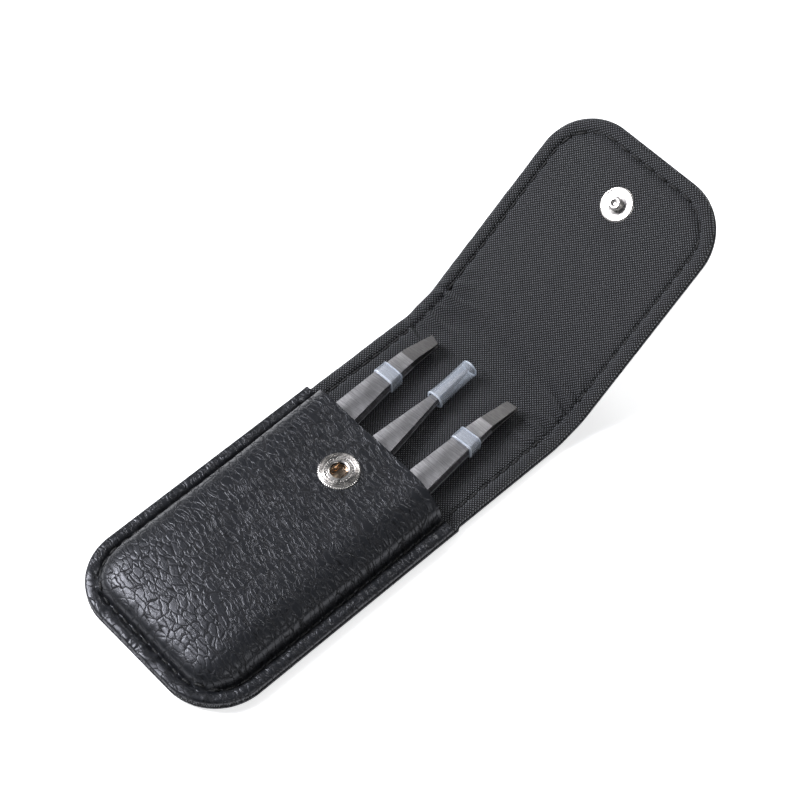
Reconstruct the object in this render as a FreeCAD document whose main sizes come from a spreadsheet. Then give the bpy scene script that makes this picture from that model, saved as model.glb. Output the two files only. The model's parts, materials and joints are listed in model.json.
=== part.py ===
import FreeCAD, Part

import math
import os

import Sketcher
from FreeCAD import Placement, Rotation, Vector

# Snap-closed pouch with three pairs of precision tweezers.
# X runs across the pouch, Y runs from its round bottom end to the flap, and Z is up.
# The origin is the middle of the back panel's flat underside.
# The flap and its spine are drawn flat, each from its own crease, and then folded up into place.

# ---------------------------------------------------------------------------------------------
# Driving sizes, in millimetres and degrees
# ---------------------------------------------------------------------------------------------

DRIVING_SIZES = [
    ("panel_long", 111.8, "back panel, from the bottom end to the first crease"),
    ("corner_round", 15.0, "outline radius of the pouch's round corners"),
    ("tips_room", 34.0, "pocket's mouth to the first crease"),
    ("pocket_extra", 0.6, "how much further out the edge lies at the pocket than above it"),
    ("mouth_step", 0.6, "how far the wide part of the back panel runs on past the mouth"),
    ("leather_thick", 1.1, "leather of the covers"),
    ("board_thick", 0.7, "stiffener board"),
    ("lining_thick", 0.4, "nylon lining of the back, spine and flap"),
    ("pocket_lining_thick", 0.3, "nylon lining inside the pocket"),
    ("hem_wide", 5.0, "turned-in border of the covers, around the board"),
    ("board_play", 0.2, "gap between a board and the hem around it"),
    ("lining_inset", 0.5, "edge of a lining behind the edge of its cover"),
    ("crease_gap", 0.35, "each panel's end to the crease axis"),
    ("fold_angle", 17.25, "fold at each crease, as the flap stands open"),
    ("seam_inset", 3.7, "pouch edge to the seam's stitches"),
    ("stitch_wide", 0.6, "thread width"),
    ("stitch_high", 0.3, "how high a stitch stands on the surface"),
    ("stitch_gap", 0.7, "space between two stitches of a seam"),
    ("pocket_pitch", 3.6, "stitch pitch around the pocket"),
    ("flap_pitch", 4.2, "stitch pitch around the flap"),
    ("groove_wide", 0.8, "stitch groove in the outer leather"),
    ("groove_deep", 0.35, "depth of the stitch groove"),
    ("bulge_inset", 4.2, "pouch edge to the foot of the bulge"),
    ("bulge_full", 40.0, "bottom end to where the bulge has its full height"),
    ("mouth_run", 5.1, "slope of the bulge's sides, seen from above, at the mouth"),
    ("deep_run", 3.2, "the same, deep in the pocket"),
    ("snap_side", -0.6, "snap's place across the pouch"),
    ("snap_below", 12.6, "pocket's mouth to the snap"),
    ("flap_past_snap", 15.6, "snap to the flap's round end"),
    ("snap_play", 0.1, "gap between the closed snap's socket and the stud's flange"),
    ("socket_round", 5.25, "snap socket's outer radius"),
    ("socket_high", 0.85, "snap socket above the leather"),
    ("socket_chamfer", 0.35, "bevel around the snap socket's top"),
    ("socket_lip", 0.45, "rounded lip around the snap socket's hole"),
    ("socket_wall", 0.95, "wall outside the groove that holds the spring wires"),
    ("bore_play", 0.45, "gap between the stud's head and the socket's hole"),
    ("stud_round", 4.5, "radius of the snap stud's flange"),
    ("stud_flange", 0.45, "thickness of the snap stud's flange"),
    ("stud_neck", 1.5, "radius of the snap stud's neck"),
    ("stud_head", 1.85, "radius of the snap stud's head"),
    ("stud_tall", 1.6, "snap stud above its flange"),
    ("wire_thick", 0.42, "diameter of the snap's spring wires"),
    ("wire_play", 0.11, "gap between the stud's neck and each wire"),
    ("cap_round", 6.2, "radius of the snap's cap, outside on the flap"),
    ("cap_high", 1.0, "height of the snap's cap"),
    ("post_round", 1.2, "radius of the rivet post through the flap"),
    ("eyelet_step", 0.05, "how far the rivet tube lies outside the socket's hole"),
    ("eyelet_round", 4.6, "radius of the rivet's flange inside the pocket"),
    ("eyelet_wall", 0.25, "wall of the rivet tube"),
    ("hole_play", 0.05, "gap between a rivet and its hole"),
    ("rest_play", 0.22, "gap between the lining and the thickest band"),
    ("roof_play", 0.55, "gap between the tweezers and the pocket's lining"),
    ("side_play", 3.75, "gap between the outer pairs and the inside of the pocket's sides"),
    ("arm_thick", 0.8, "steel strip of the arms"),
    ("tip_thick", 0.45, "ground thickness at the tips"),
    ("tail_long", 12.0, "welded tail of a pair of tweezers"),
    ("tail_half", 3.5, "half width at the tail"),
    ("tail_round", 2.4, "outline radius of the tail's corners"),
    ("root_gap", 0.15, "gap between the tail and the arms that bend from it"),
    ("tail_foot", 14.8, "pouch's bottom end to the end of the tails"),
    ("shoulder_half", 4.5, "half width at the widest place"),
    ("nose_long", 13.0, "where the arms start to close to their tips"),
    ("tip_gap", 1.0, "tips to the first crease"),
    ("arm_bow", 1.35, "arm's inner face to the middle plane, where the pair is bowed"),
    ("nose_bow", 1.1, "the same where the arms start to close"),
    ("tip_bow", 0.3, "the same at the tips"),
    ("root_bow", 0.05, "the same at the roots"),
    ("point_bow", 0.65, "the same for the pointed pair where its cap starts"),
    ("point_tip_bow", 0.2, "the same for the pointed pair at its tip"),
    ("flat_mouth_half", 3.55, "half width of a flat-tipped pair at the mouth"),
    ("flat_nose_half", 2.3, "half width of a flat-tipped pair at its nose"),
    ("point_mouth_half", 3.35, "half width of the pointed pair at the mouth"),
    ("point_nose_half", 1.1, "half width of the pointed pair at its nose"),
    ("point_tip_half", 0.25, "half width of the pointed pair at its tip"),
    ("tip_flare", 8.4, "where a flat-tipped pair starts to slant to its tips"),
    ("left_tip_wide", 2.85, "left pair's long tip corner from its middle line"),
    ("left_tip_near", 0.15, "left pair's other tip corner, past its middle line"),
    ("left_tip_slant", 1.2, "how far the left pair's long corner lies behind the other"),
    ("right_tip_wide", 2.5, "right pair's long tip corner from its middle line"),
    ("right_tip_near", 0.8, "right pair's other tip corner, past its middle line"),
    ("tip_slant", 0.4, "how far the other pairs' tips lie behind the left pair's"),
    ("left_gap", 4.45, "space between the left and pointed pairs, where both are widest"),
    ("middle_side", -0.5, "pointed pair at the mouth, across the pouch"),
    ("right_gap", 4.15, "space between the pointed and right pairs, where both are widest"),
    ("left_yaw", 4.5, "left pair's turn towards the left"),
    ("middle_yaw", 4.1, "pointed pair's turn towards the left"),
    ("right_yaw", 2.7, "right pair's turn towards the left"),
    ("band_wall", 0.4, "wall of the silicone bands"),
    ("band_play", 0.2, "gap between a band and the arms it holds"),
    ("band_long", 3.8, "length of a band along the arms"),
    ("band_behind", 5.4, "left band's rear edge to where the arms start to close"),
    ("band_stagger", 0.8, "how much nearer the tips the right band sits"),
    ("sleeve_wall", 0.46, "wall of the tip cap"),
    ("sleeve_play", 0.1, "gap between the tip cap and the pointed pair's corners"),
    ("sleeve_ahead", 0.2, "how far the tip cap reaches past the tips"),
]


class Size(float):
    """A size that also carries the expression which ties it to the sheet."""

    def __new__(cls, value, text=None):
        size = float.__new__(cls, value)
        size.text = text or repr(float(value))
        return size

    def joined(self, sign, other, value):
        other_text = getattr(other, "text", None) or repr(float(other))
        return Size(value, f"({self.text} {sign} {other_text})")

    def __add__(self, other):
        return self.joined("+", other, float(self) + float(other))

    def __sub__(self, other):
        return self.joined("-", other, float(self) - float(other))

    def __mul__(self, other):
        return self.joined("*", other, float(self) * float(other))

    def __truediv__(self, other):
        return self.joined("/", other, float(self) / float(other))

    def __neg__(self):
        return self.joined("*", -1.0, -float(self))


def sine(angle):
    return Size(math.sin(math.radians(angle)), f"sin({angle.text})")


def cosine(angle):
    return Size(math.cos(math.radians(angle)), f"cos({angle.text})")


def diagonal(a, b):
    return Size(math.hypot(a, b), f"sqrt({a.text} * {a.text} + {b.text} * {b.text})")


def larger(a, b):
    return Size(max(a, b), f"max({a.text}; {b.text})")


doc = FreeCAD.newDocument("tweezer_pouch")
sheet = doc.addObject("Spreadsheet::Sheet", "sizes")


def write_sheet():
    """Put the driving sizes in the sheet, and hand them back by name."""
    by_name = {}
    for row, (alias, value, note) in enumerate(DRIVING_SIZES, start=1):
        sheet.set(f"A{row}", note)
        sheet.set(f"B{row}", str(value))
        sheet.setAlias(f"B{row}", alias)
        by_name[alias] = Size(value, f"sizes.{alias}")
    doc.recompute()
    return by_name


S = write_sheet()

# ---------------------------------------------------------------------------------------------
# Places worked out from the driving sizes
# ---------------------------------------------------------------------------------------------

ZERO = Size(0.0)

# along the pouch
BOTTOM_Y = -(S["panel_long"] / 2)
CREASE_Y = S["panel_long"] / 2
MOUTH_Y = CREASE_Y - S["tips_room"]
MOUTH_DEPTH = S["panel_long"] - S["tips_room"]
SNAP_REACH = S["tips_room"] + S["snap_below"]
FLAP_LONG = SNAP_REACH + S["flap_past_snap"]
SOCKET_Y = CREASE_Y - SNAP_REACH

# along a pair of tweezers, from the pocket's mouth
SHOULDER_SHARE = 8 / 17
ARM_ROOT = MOUTH_DEPTH - S["tail_foot"] - S["tail_long"]
ARM_SHOULDER = ARM_ROOT * SHOULDER_SHARE
ARM_TIP = S["tips_room"] - S["tip_gap"]
ARM_NOSE = ARM_TIP - S["nose_long"]
LEFT_BAND_AT = ARM_NOSE - S["band_behind"]
RIGHT_BAND_AT = LEFT_BAND_AT + S["band_stagger"]
SLEEVE_AT = ARM_NOSE + S["sleeve_ahead"]

# bands and tip cap, around the arms that they hold
ARM_OUTER = S["arm_bow"] + S["arm_thick"]
WIDTH_AT_BAND = (S["flat_mouth_half"] - S["flat_nose_half"]) * (S["band_behind"] / ARM_NOSE)
BOW_AT_BAND = (S["arm_bow"] - S["nose_bow"]) * (S["band_behind"] / (ARM_NOSE + ARM_SHOULDER))
BAND_HALF = S["flat_nose_half"] + WIDTH_AT_BAND + S["band_play"]
BAND_BOW = S["nose_bow"] + BOW_AT_BAND + S["arm_thick"] + S["band_play"]
SLEEVE_BORE = diagonal(S["point_nose_half"], S["point_bow"] + S["arm_thick"]) + S["sleeve_play"]
SLEEVE_ROUND = SLEEVE_BORE + S["sleeve_wall"]

# across the pouch
LEFT_SIDE = -(S["shoulder_half"] * 2 + S["left_gap"])
RIGHT_SIDE = S["shoulder_half"] * 2 + S["right_gap"]
CAVITY_INSET = S["bulge_inset"] + S["leather_thick"]
PANEL_HALF = S["shoulder_half"] - LEFT_SIDE + CAVITY_INSET + S["side_play"]
POCKET_HALF = PANEL_HALF + S["pocket_extra"]
SEAM_HALF = POCKET_HALF - S["seam_inset"]
SEAM_ROUND = S["corner_round"] - S["seam_inset"]

# up through the pouch
PANEL_TOP = S["leather_thick"] + S["board_thick"]
STACK_TOP = PANEL_TOP + S["lining_thick"]
FLANGE_TOP = STACK_TOP + S["leather_thick"]
SPINE_COVER_THICK = S["leather_thick"] + S["lining_thick"] / 2
FOLD_HEIGHT = STACK_TOP - S["lining_thick"] / 2
REST_HIGH = larger(BAND_BOW + S["band_wall"], SLEEVE_ROUND) + S["rest_play"]
TWEEZER_MID = STACK_TOP + REST_HIGH
BULGE_HIGH = REST_HIGH + ARM_OUTER + S["roof_play"] + S["pocket_lining_thick"]
CEILING = STACK_TOP + BULGE_HIGH
SOCKET_SEAT = CEILING + S["leather_thick"]

# snap
SOCKET_BORE = S["stud_head"] + S["bore_play"]
EYELET_TUBE = SOCKET_BORE + S["eyelet_step"]
WIRE_AT = S["stud_neck"] + S["wire_play"] + S["wire_thick"] / 2
WIRE_GROOVE = S["socket_round"] - S["socket_wall"]
WIRE_HIGH = S["socket_high"] / 2

# spine and flap: the closed flap's snap just meets the pocket's
CLOSED_GAP = S["socket_high"] + S["stud_flange"] + S["snap_play"]
SPINE_LONG = SOCKET_SEAT + CLOSED_GAP + STACK_TOP - FOLD_HEIGHT * 2
FLAP_SEAM_END = FLAP_LONG - S["seam_inset"]
SECOND_CREASE_Y = CREASE_Y + SPINE_LONG * cosine(S["fold_angle"])
SECOND_CREASE_Z = FOLD_HEIGHT + SPINE_LONG * sine(S["fold_angle"])

pieces = []


# ---------------------------------------------------------------------------------------------
# Helpers: sketches, features and places
# ---------------------------------------------------------------------------------------------


def bind(thing, name, size):
    """Set a property of an object, or a sketch's constraint, to a size from the sheet."""
    thing.setExpression(name, size.text)


def keep(thing, label):
    """Name a finished sub-part, and list it for writing."""
    thing.Label = label
    pieces.append(thing)
    return thing


def pinned(sketch, geometry, end, point):
    """Fix one end of a line at a point whose coordinates are sizes."""
    for way, size in (("DistanceX", point[0]), ("DistanceY", point[1])):
        index = sketch.addConstraint(
            Sketcher.Constraint(way, -1, 1, geometry, end, float(size))
        )
        bind(sketch, f"Constraints[{index}]", size)


def direction(start, end):
    run = Vector(float(end[0]) - float(start[0]), float(end[1]) - float(start[1]), 0)
    return run.normalize()


def stepped(point, way, size):
    """A point moved by a size along a direction that runs along one of the sketch's axes."""
    return (point[0] + size * round(way.x), point[1] + size * round(way.y))


def draw_outline(sketch, corners):
    """Draw a closed outline through (x, y, radius) corners; only square corners are rounded."""
    points = [corner[:2] for corner in corners]
    rounds = [corner[2] if len(corner) > 2 else None for corner in corners]
    count = len(points)
    ways = [direction(points[i - 1], points[i]) for i in range(count)]
    entries = []
    exits = []
    for i in range(count):
        way_in, way_out = ways[i], ways[(i + 1) % count]
        if rounds[i] is None:
            entries.append(points[i])
            exits.append(points[i])
        else:
            entries.append(stepped(points[i], way_in, -rounds[i]))
            exits.append(stepped(points[i], way_out, rounds[i]))
    lines = []
    for i in range(count):
        start, end = exits[i], entries[(i + 1) % count]
        lines.append(
            sketch.addGeometry(Part.LineSegment(Vector(*start, 0), Vector(*end, 0)))
        )
        pinned(sketch, lines[i], 1, start)
    for i in range(count):
        before, after = lines[i - 1], lines[i]
        if rounds[i] is None:
            sketch.addConstraint(Sketcher.Constraint("Coincident", before, 2, after, 1))
            continue
        pinned(sketch, before, 2, entries[i])
        draw_corner(sketch, before, after, entries[i], exits[i], rounds[i], ways[i])


def draw_corner(sketch, before, after, entry, leave, radius, way_in):
    """Join two lines that meet at a square corner with a quarter circle."""
    start, end = Vector(*entry, 0), Vector(*leave, 0)
    turn = way_in.cross(end - start).z
    inward = Vector(-way_in.y, way_in.x, 0) * math.copysign(1, turn)
    centre = start + inward * float(radius)
    first, last = (start, end) if turn > 0 else (end, start)
    angles = [math.atan2(p.y - centre.y, p.x - centre.x) for p in (first, last)]
    circle = Part.Circle(centre, Vector(0, 0, 1), float(radius))
    arc = sketch.addGeometry(Part.ArcOfCircle(circle, *angles))
    entry_end, leave_end = (1, 2) if turn > 0 else (2, 1)
    sketch.addConstraint(Sketcher.Constraint("Coincident", before, 2, arc, entry_end))
    sketch.addConstraint(Sketcher.Constraint("Coincident", after, 1, arc, leave_end))
    index = sketch.addConstraint(Sketcher.Constraint("Radius", arc, float(radius)))
    bind(sketch, f"Constraints[{index}]", radius)


def body_sketch(body, plane, name, *outlines, offset=None):
    """A sketch on one of the body's own origin planes, shifted along that plane's normal."""
    sketch = body.newObject("Sketcher::SketchObject", name)
    origin_plane = [f for f in body.Origin.OriginFeatures if f.Role == plane][0]
    sketch.AttachmentSupport = [(origin_plane, "")]
    sketch.MapMode = "FlatFace"
    if offset is not None:
        sketch.AttachmentOffset = Placement(Vector(0, 0, float(offset)), Rotation())
        bind(sketch, ".AttachmentOffset.Base.z", offset)
    for corners in outlines:
        draw_outline(sketch, corners)
    return sketch


def new_body(label):
    return keep(doc.addObject("PartDesign::Body", label), label)


def pad(body, name, sketch, length):
    feature = body.newObject("PartDesign::Pad", name)
    feature.Profile = sketch
    bind(feature, "Length", length)
    sketch.Visibility = False
    doc.recompute()
    return feature


def pocket(body, name, sketch, depth):
    """Cut upwards from a sketch that lies at or under the body's lower face."""
    feature = body.newObject("PartDesign::Pocket", name)
    feature.Profile = sketch
    feature.Reversed = True
    bind(feature, "Length", depth)
    volume_before = body.Shape.Volume
    doc.recompute()
    if body.Shape.Volume >= volume_before:
        raise ValueError(f"{body.Label}: {name} cuts nothing")
    return feature


def round_hole(body, name, radius, at, low, high):
    """A round hole from one height to another."""
    sketch = body_sketch(body, "XY_Plane", f"{name}_sketch", offset=low)
    circle = sketch.addGeometry(
        Part.Circle(Vector(*at, 0), Vector(0, 0, 1), float(radius))
    )
    for way, size in (("DistanceX", at[0]), ("DistanceY", at[1])):
        index = sketch.addConstraint(
            Sketcher.Constraint(way, -1, 1, circle, 3, float(size))
        )
        bind(sketch, f"Constraints[{index}]", size)
    index = sketch.addConstraint(Sketcher.Constraint("Radius", circle, float(radius)))
    bind(sketch, f"Constraints[{index}]", radius)
    return pocket(body, name, sketch, high - low)


def slab(label, corners, low, thick):
    """A flat piece with one outline."""
    body = new_body(label)
    pad(body, f"{label}_pad", body_sketch(body, "XY_Plane", f"{label}_sketch", corners, offset=low), thick)
    return body


def turned(label, profile):
    """A round piece: its half profile, as (radius, height) corners, turned about Z."""
    body = new_body(label)
    sketch = body_sketch(body, "XZ_Plane", f"{label}_profile", profile)
    feature = body.newObject("PartDesign::Revolution", f"{label}_turn")
    feature.Profile = sketch
    feature.ReferenceAxis = (sketch, ["V_Axis"])
    feature.Angle = 360
    doc.recompute()
    return body


def put(thing, x, y, z, axis=Vector(0, 0, 1), angle=None):
    """Place a sub-part, with its place and its turn bound to the sheet."""
    turn = Rotation(axis, float(angle)) if angle is not None else Rotation()
    thing.Placement = Placement(Vector(float(x), float(y), float(z)), turn)
    for way, size in (("x", x), ("y", y), ("z", z)):
        bind(thing, f".Placement.Base.{way}", size)
    if angle is not None:
        bind(thing, ".Placement.Rotation.Angle", angle)
    return thing


def fold_spine(thing, across=ZERO, along=ZERO, up=ZERO):
    """Fold a piece of the spine up at the first crease, from a place in the flat spine."""
    fold = S["fold_angle"]
    rise = up - FOLD_HEIGHT
    y = CREASE_Y + along * cosine(fold) - rise * sine(fold)
    z = FOLD_HEIGHT + along * sine(fold) + rise * cosine(fold)
    return put(thing, across, y, z, Vector(1, 0, 0), fold)


def fold_flap(thing, across=ZERO, along=ZERO, up=ZERO):
    """Fold a piece of the flap up at both creases, from a place in the flat flap."""
    fold = S["fold_angle"] * 2
    rise = up - FOLD_HEIGHT
    y = SECOND_CREASE_Y + along * cosine(fold) - rise * sine(fold)
    z = SECOND_CREASE_Z + along * sine(fold) + rise * cosine(fold)
    return put(thing, across, y, z, Vector(1, 0, 0), fold)


# ---------------------------------------------------------------------------------------------
# Outlines of the pouch
# ---------------------------------------------------------------------------------------------


def back_outline(inset):
    """The back panel's outline: round at the bottom, wide over the pocket, narrower above."""
    wide = POCKET_HALF - inset
    narrow = PANEL_HALF - inset
    step_y = MOUTH_Y + S["mouth_step"]
    end_y = CREASE_Y - S["crease_gap"]
    radius = S["corner_round"] - inset
    low = BOTTOM_Y + inset
    return [
        (-wide, low, radius),
        (wide, low, radius),
        (wide, step_y),
        (narrow, step_y),
        (narrow, end_y),
        (-narrow, end_y),
        (-narrow, step_y),
        (-wide, step_y),
    ]


def flap_outline(inset, start):
    """The flap's outline from a distance after its crease to its round end."""
    half = PANEL_HALF - inset
    end = FLAP_LONG - inset
    radius = S["corner_round"] - inset
    return [(-half, start), (half, start), (half, end, radius), (-half, end, radius)]


def board_outline_of_back():
    """The back's board: inside the hem, and short of the crease."""
    inset = S["hem_wide"] + S["board_play"]
    half = PANEL_HALF - inset
    radius = S["corner_round"] - inset
    low = BOTTOM_Y + inset
    end_y = CREASE_Y - inset
    return [(-half, low, radius), (half, low, radius), (half, end_y), (-half, end_y)]


def hollow_outline_of_back():
    """The space inside the back cover's hem, where the board lies."""
    half = PANEL_HALF - S["hem_wide"]
    radius = S["corner_round"] - S["hem_wide"]
    low = BOTTOM_Y + S["hem_wide"]
    end_y = CREASE_Y - S["hem_wide"]
    return [(-half, low, radius), (half, low, radius), (half, end_y), (-half, end_y)]


def groove_outline(open_end, far_end, half, radius):
    """A U-shaped groove along a seam, open at the crease and round at its far end."""
    reach = S["groove_wide"] / 2
    toward = 1 if float(far_end) > float(open_end) else -1
    outer_end = far_end + reach * toward
    inner_end = far_end - reach * toward
    outer, inner = half + reach, half - reach
    wide_round, tight_round = radius + reach, radius - reach
    return [
        (-outer, open_end),
        (-outer, outer_end, wide_round),
        (outer, outer_end, wide_round),
        (outer, open_end),
        (inner, open_end),
        (inner, inner_end, tight_round),
        (-inner, inner_end, tight_round),
        (-inner, open_end),
    ]


def cover(label, outline, hollow, groove):
    """An outer leather panel: its hem stands around the board, and its seam lies in a groove."""
    body = slab(label, outline, ZERO, PANEL_TOP)
    hollow_sketch = body_sketch(
        body, "XY_Plane", f"{label}_hollow_sketch", hollow, offset=S["leather_thick"]
    )
    pocket(body, f"{label}_hollow", hollow_sketch, S["board_thick"])
    groove_sketch = body_sketch(body, "XY_Plane", f"{label}_groove_sketch", groove)
    pocket(body, f"{label}_groove", groove_sketch, S["groove_deep"])
    return body


# ---------------------------------------------------------------------------------------------
# Back, spine and flap
# ---------------------------------------------------------------------------------------------


def make_back():
    groove = groove_outline(
        CREASE_Y - S["crease_gap"], BOTTOM_Y + S["seam_inset"], SEAM_HALF, SEAM_ROUND
    )
    cover("back_cover", back_outline(ZERO), hollow_outline_of_back(), groove)
    slab("back_board", board_outline_of_back(), S["leather_thick"], S["board_thick"])
    slab("back_lining", back_outline(S["lining_inset"]), PANEL_TOP, S["lining_thick"])


def spine_outline(inset):
    half = PANEL_HALF - inset
    start = S["crease_gap"]
    end = SPINE_LONG - S["crease_gap"]
    return [(-half, start), (half, start), (half, end), (-half, end)]


def make_spine():
    spine_cover = slab("spine_cover", spine_outline(ZERO), ZERO, SPINE_COVER_THICK)
    reach = S["groove_wide"] / 2
    groove_sketch = body_sketch(
        spine_cover,
        "XY_Plane",
        "spine_groove_sketch",
        *[
            [
                (SEAM_HALF * side - reach, S["crease_gap"]),
                (SEAM_HALF * side + reach, S["crease_gap"]),
                (SEAM_HALF * side + reach, SPINE_LONG - S["crease_gap"]),
                (SEAM_HALF * side - reach, SPINE_LONG - S["crease_gap"]),
            ]
            for side in (-1, 1)
        ],
    )
    pocket(spine_cover, "spine_groove", groove_sketch, S["groove_deep"])
    fold_spine(spine_cover)
    lining = slab(
        "spine_lining", spine_outline(S["lining_inset"]), SPINE_COVER_THICK, S["lining_thick"]
    )
    fold_spine(lining)


def make_flap():
    start = S["crease_gap"]
    inner = S["hem_wide"]
    hollow = flap_outline(inner, start + inner)
    groove = groove_outline(start, FLAP_SEAM_END, SEAM_HALF, SEAM_ROUND)
    snap_at = (S["snap_side"], SNAP_REACH)
    hole = S["post_round"] + S["hole_play"]

    flap_cover = cover("flap_cover", flap_outline(ZERO, start), hollow, groove)
    round_hole(flap_cover, "flap_cover_hole", hole, snap_at, ZERO, S["leather_thick"])
    fold_flap(flap_cover)

    board_inset = inner + S["board_play"]
    board = slab(
        "flap_board",
        flap_outline(board_inset, start + board_inset),
        S["leather_thick"],
        S["board_thick"],
    )
    round_hole(board, "flap_board_hole", hole, snap_at, S["leather_thick"], PANEL_TOP)
    fold_flap(board)

    lining = slab(
        "flap_lining", flap_outline(S["lining_inset"], start), PANEL_TOP, S["lining_thick"]
    )
    round_hole(lining, "flap_lining_hole", hole, snap_at, PANEL_TOP, STACK_TOP)
    fold_flap(lining)


# ---------------------------------------------------------------------------------------------
# Pocket front: a flange sewn to the back panel, and a bulge over the tweezers
# ---------------------------------------------------------------------------------------------

BULGE_SHARPNESS = 3.0
SIDE_SHAPE = ((0.0, 0.0), (0.22, 0.42), (0.58, 0.84), (1.0, 1.0))  # (share of run, share of rise)
MOST_RUN_SHARE = 0.6  # the most of the half width that a side may take
LEAST_RISE = 0.3  # rise of the lowest cross-section, at the bulge's foot
FIRST_SECTION = 0.4  # foot of the bulge to its first cross-section
CUT_OVER = 1.0  # how far a cutting shape runs past the face that it cuts
SECTION_SHARES = (0.0, 0.02, 0.06, 0.12, 0.2, 0.3, 0.42, 0.56, 0.75, 1.0)


def outline_half(inset, y):
    """Half the width of the pouch's outline, moved in by an inset, at a place along it."""
    radius = float(S["corner_round"])
    straight = float(POCKET_HALF) - radius
    below = radius - (y - float(BOTTOM_Y))
    if below <= 0:
        return float(POCKET_HALF) - inset
    return straight + math.sqrt(max((radius - inset) ** 2 - below**2, 0.0))


def rise_share(y, foot_y):
    """How much of its full height the bulge has, at a place along the pocket."""
    full_y = float(BOTTOM_Y + S["bulge_full"])
    if y >= full_y:
        return 1.0
    away = (full_y - y) / (full_y - foot_y)
    return (1.0 - away**BULGE_SHARPNESS) ** (1.0 / BULGE_SHARPNESS)


def side_run(y):
    """How wide the bulge's sloping side is: narrow deep in the pocket, wider at the mouth."""
    mouth, full = float(MOUTH_Y), float(BOTTOM_Y + S["bulge_full"])
    share = min(max((y - full) / (mouth - full), 0.0), 1.0)
    return float(S["deep_run"]) + share * float(S["mouth_run"] - S["deep_run"])


def bulge_section(y, inset, foot_y, top_high):
    """A closed cross-section of the bulge: a flat floor, two curved sides and a flat top."""
    floor = float(STACK_TOP)
    half = outline_half(inset, y)
    high = max(top_high * rise_share(y, foot_y), LEAST_RISE)
    run = min(side_run(y), half * MOST_RUN_SHARE)
    right = [Vector(half - run * a, y, floor + high * b) for a, b in SIDE_SHAPE]
    left = [Vector(-p.x, p.y, p.z) for p in reversed(right)]
    curves = []
    for points in (right, left):
        curve = Part.BSplineCurve()
        curve.interpolate(points)
        curves.append(curve.toShape())
    top = Part.makeLine(right[-1], left[0])
    base = Part.makeLine(left[-1], right[0])
    return Part.Wire([curves[0], top, curves[1], base])


def bulge_solid(inset, top_high, end_y):
    """The bulge as a solid block, between its foot at the bottom seam and an end."""
    foot_y = float(BOTTOM_Y) + inset
    full_y = float(BOTTOM_Y + S["bulge_full"])
    first_y = foot_y + FIRST_SECTION
    stations = [first_y + (full_y - first_y) * share for share in SECTION_SHARES]
    stations += [(full_y + float(MOUTH_Y)) / 2, float(MOUTH_Y)]
    if end_y > float(MOUTH_Y):
        stations.append(end_y)
    sections = [bulge_section(y, inset, foot_y, top_high) for y in stations]
    return Part.makeLoft(sections, True, True)


def flange_solid():
    """The flat leather flange, with the pouch's outline, up to the mouth."""
    half = float(POCKET_HALF)
    radius = float(S["corner_round"])
    low, high = float(BOTTOM_Y), float(MOUTH_Y)
    floor = float(STACK_TOP)
    bend = radius * (1 - math.sqrt(0.5))
    a = Vector(-half, high, floor)
    b = Vector(-half, low + radius, floor)
    c = Vector(-half + radius, low, floor)
    d = Vector(half - radius, low, floor)
    e = Vector(half, low + radius, floor)
    f = Vector(half, high, floor)
    edges = [
        Part.makeLine(a, b),
        Part.Arc(b, Vector(-half + bend, low + bend, floor), c).toShape(),
        Part.makeLine(c, d),
        Part.Arc(d, Vector(half - bend, low + bend, floor), e).toShape(),
        Part.makeLine(e, f),
        Part.makeLine(f, a),
    ]
    return Part.Face(Part.Wire(edges)).extrude(Vector(0, 0, float(S["leather_thick"])))


def snap_hole(radius, low, high):
    centre = Vector(float(S["snap_side"]), float(SOCKET_Y), low)
    return Part.makeCylinder(radius, high - low, centre)


def shaped(label, shape):
    """A sub-part whose curved shape is set directly."""
    feature = doc.addObject("Part::Feature", label)
    feature.Shape = shape
    return keep(feature, label)


def make_pocket():
    past_mouth = float(MOUTH_Y) + CUT_OVER
    outer = bulge_solid(
        float(S["bulge_inset"]), float(BULGE_HIGH + S["leather_thick"]), float(MOUTH_Y)
    )
    inner = bulge_solid(float(CAVITY_INSET), float(BULGE_HIGH), past_mouth)
    tube_hole = float(EYELET_TUBE + S["hole_play"])
    front = flange_solid().fuse(outer).cut(inner)
    front = front.cut(snap_hole(tube_hole, float(STACK_TOP), float(SOCKET_SEAT) + CUT_OVER))
    shaped("pocket_front", front.removeSplitter())

    thin = float(S["pocket_lining_thick"])
    lining_inset = float(CAVITY_INSET) + thin
    hollow = bulge_solid(lining_inset, float(BULGE_HIGH) - thin, past_mouth)
    skin = bulge_solid(float(CAVITY_INSET), float(BULGE_HIGH), float(MOUTH_Y))
    flange_hole = float(S["eyelet_round"] + S["hole_play"])
    skin = skin.cut(hollow)
    hole_low = (float(STACK_TOP) + float(CEILING)) / 2
    skin = skin.cut(snap_hole(flange_hole, hole_low, float(CEILING) + CUT_OVER))
    shaped("pocket_lining", skin)


# ---------------------------------------------------------------------------------------------
# Stitches: short bars of thread on both faces of a seam
# ---------------------------------------------------------------------------------------------


def seam_path(start_y, far_y, half, radius):
    """Lengths and a rule for the points of a U-shaped seam that is round at its far end."""
    toward = 1 if far_y > start_y else -1
    straight = abs(far_y - start_y) - radius
    quarter = math.pi / 2 * radius
    across = 2 * (half - radius)
    total = 2 * straight + 2 * quarter + across

    def point(run):
        """The place and heading of the seam after a run from its left end."""
        mirrored = run > total / 2
        run = min(run, total - run)
        if run < straight:
            x, y, heading = -half, start_y + toward * run, 90.0 * toward
        elif run < straight + quarter:
            turn = (run - straight) / radius
            x = -half + radius * (1 - math.cos(turn))
            y = far_y - toward * radius * (1 - math.sin(turn))
            heading = toward * (90.0 - math.degrees(turn))
        else:
            x, y, heading = -half + radius + run - straight - quarter, far_y, 0.0
        if mirrored:
            return Vector(-x, y, 0), -heading
        return Vector(x, y, 0), heading

    return total, point


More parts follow.
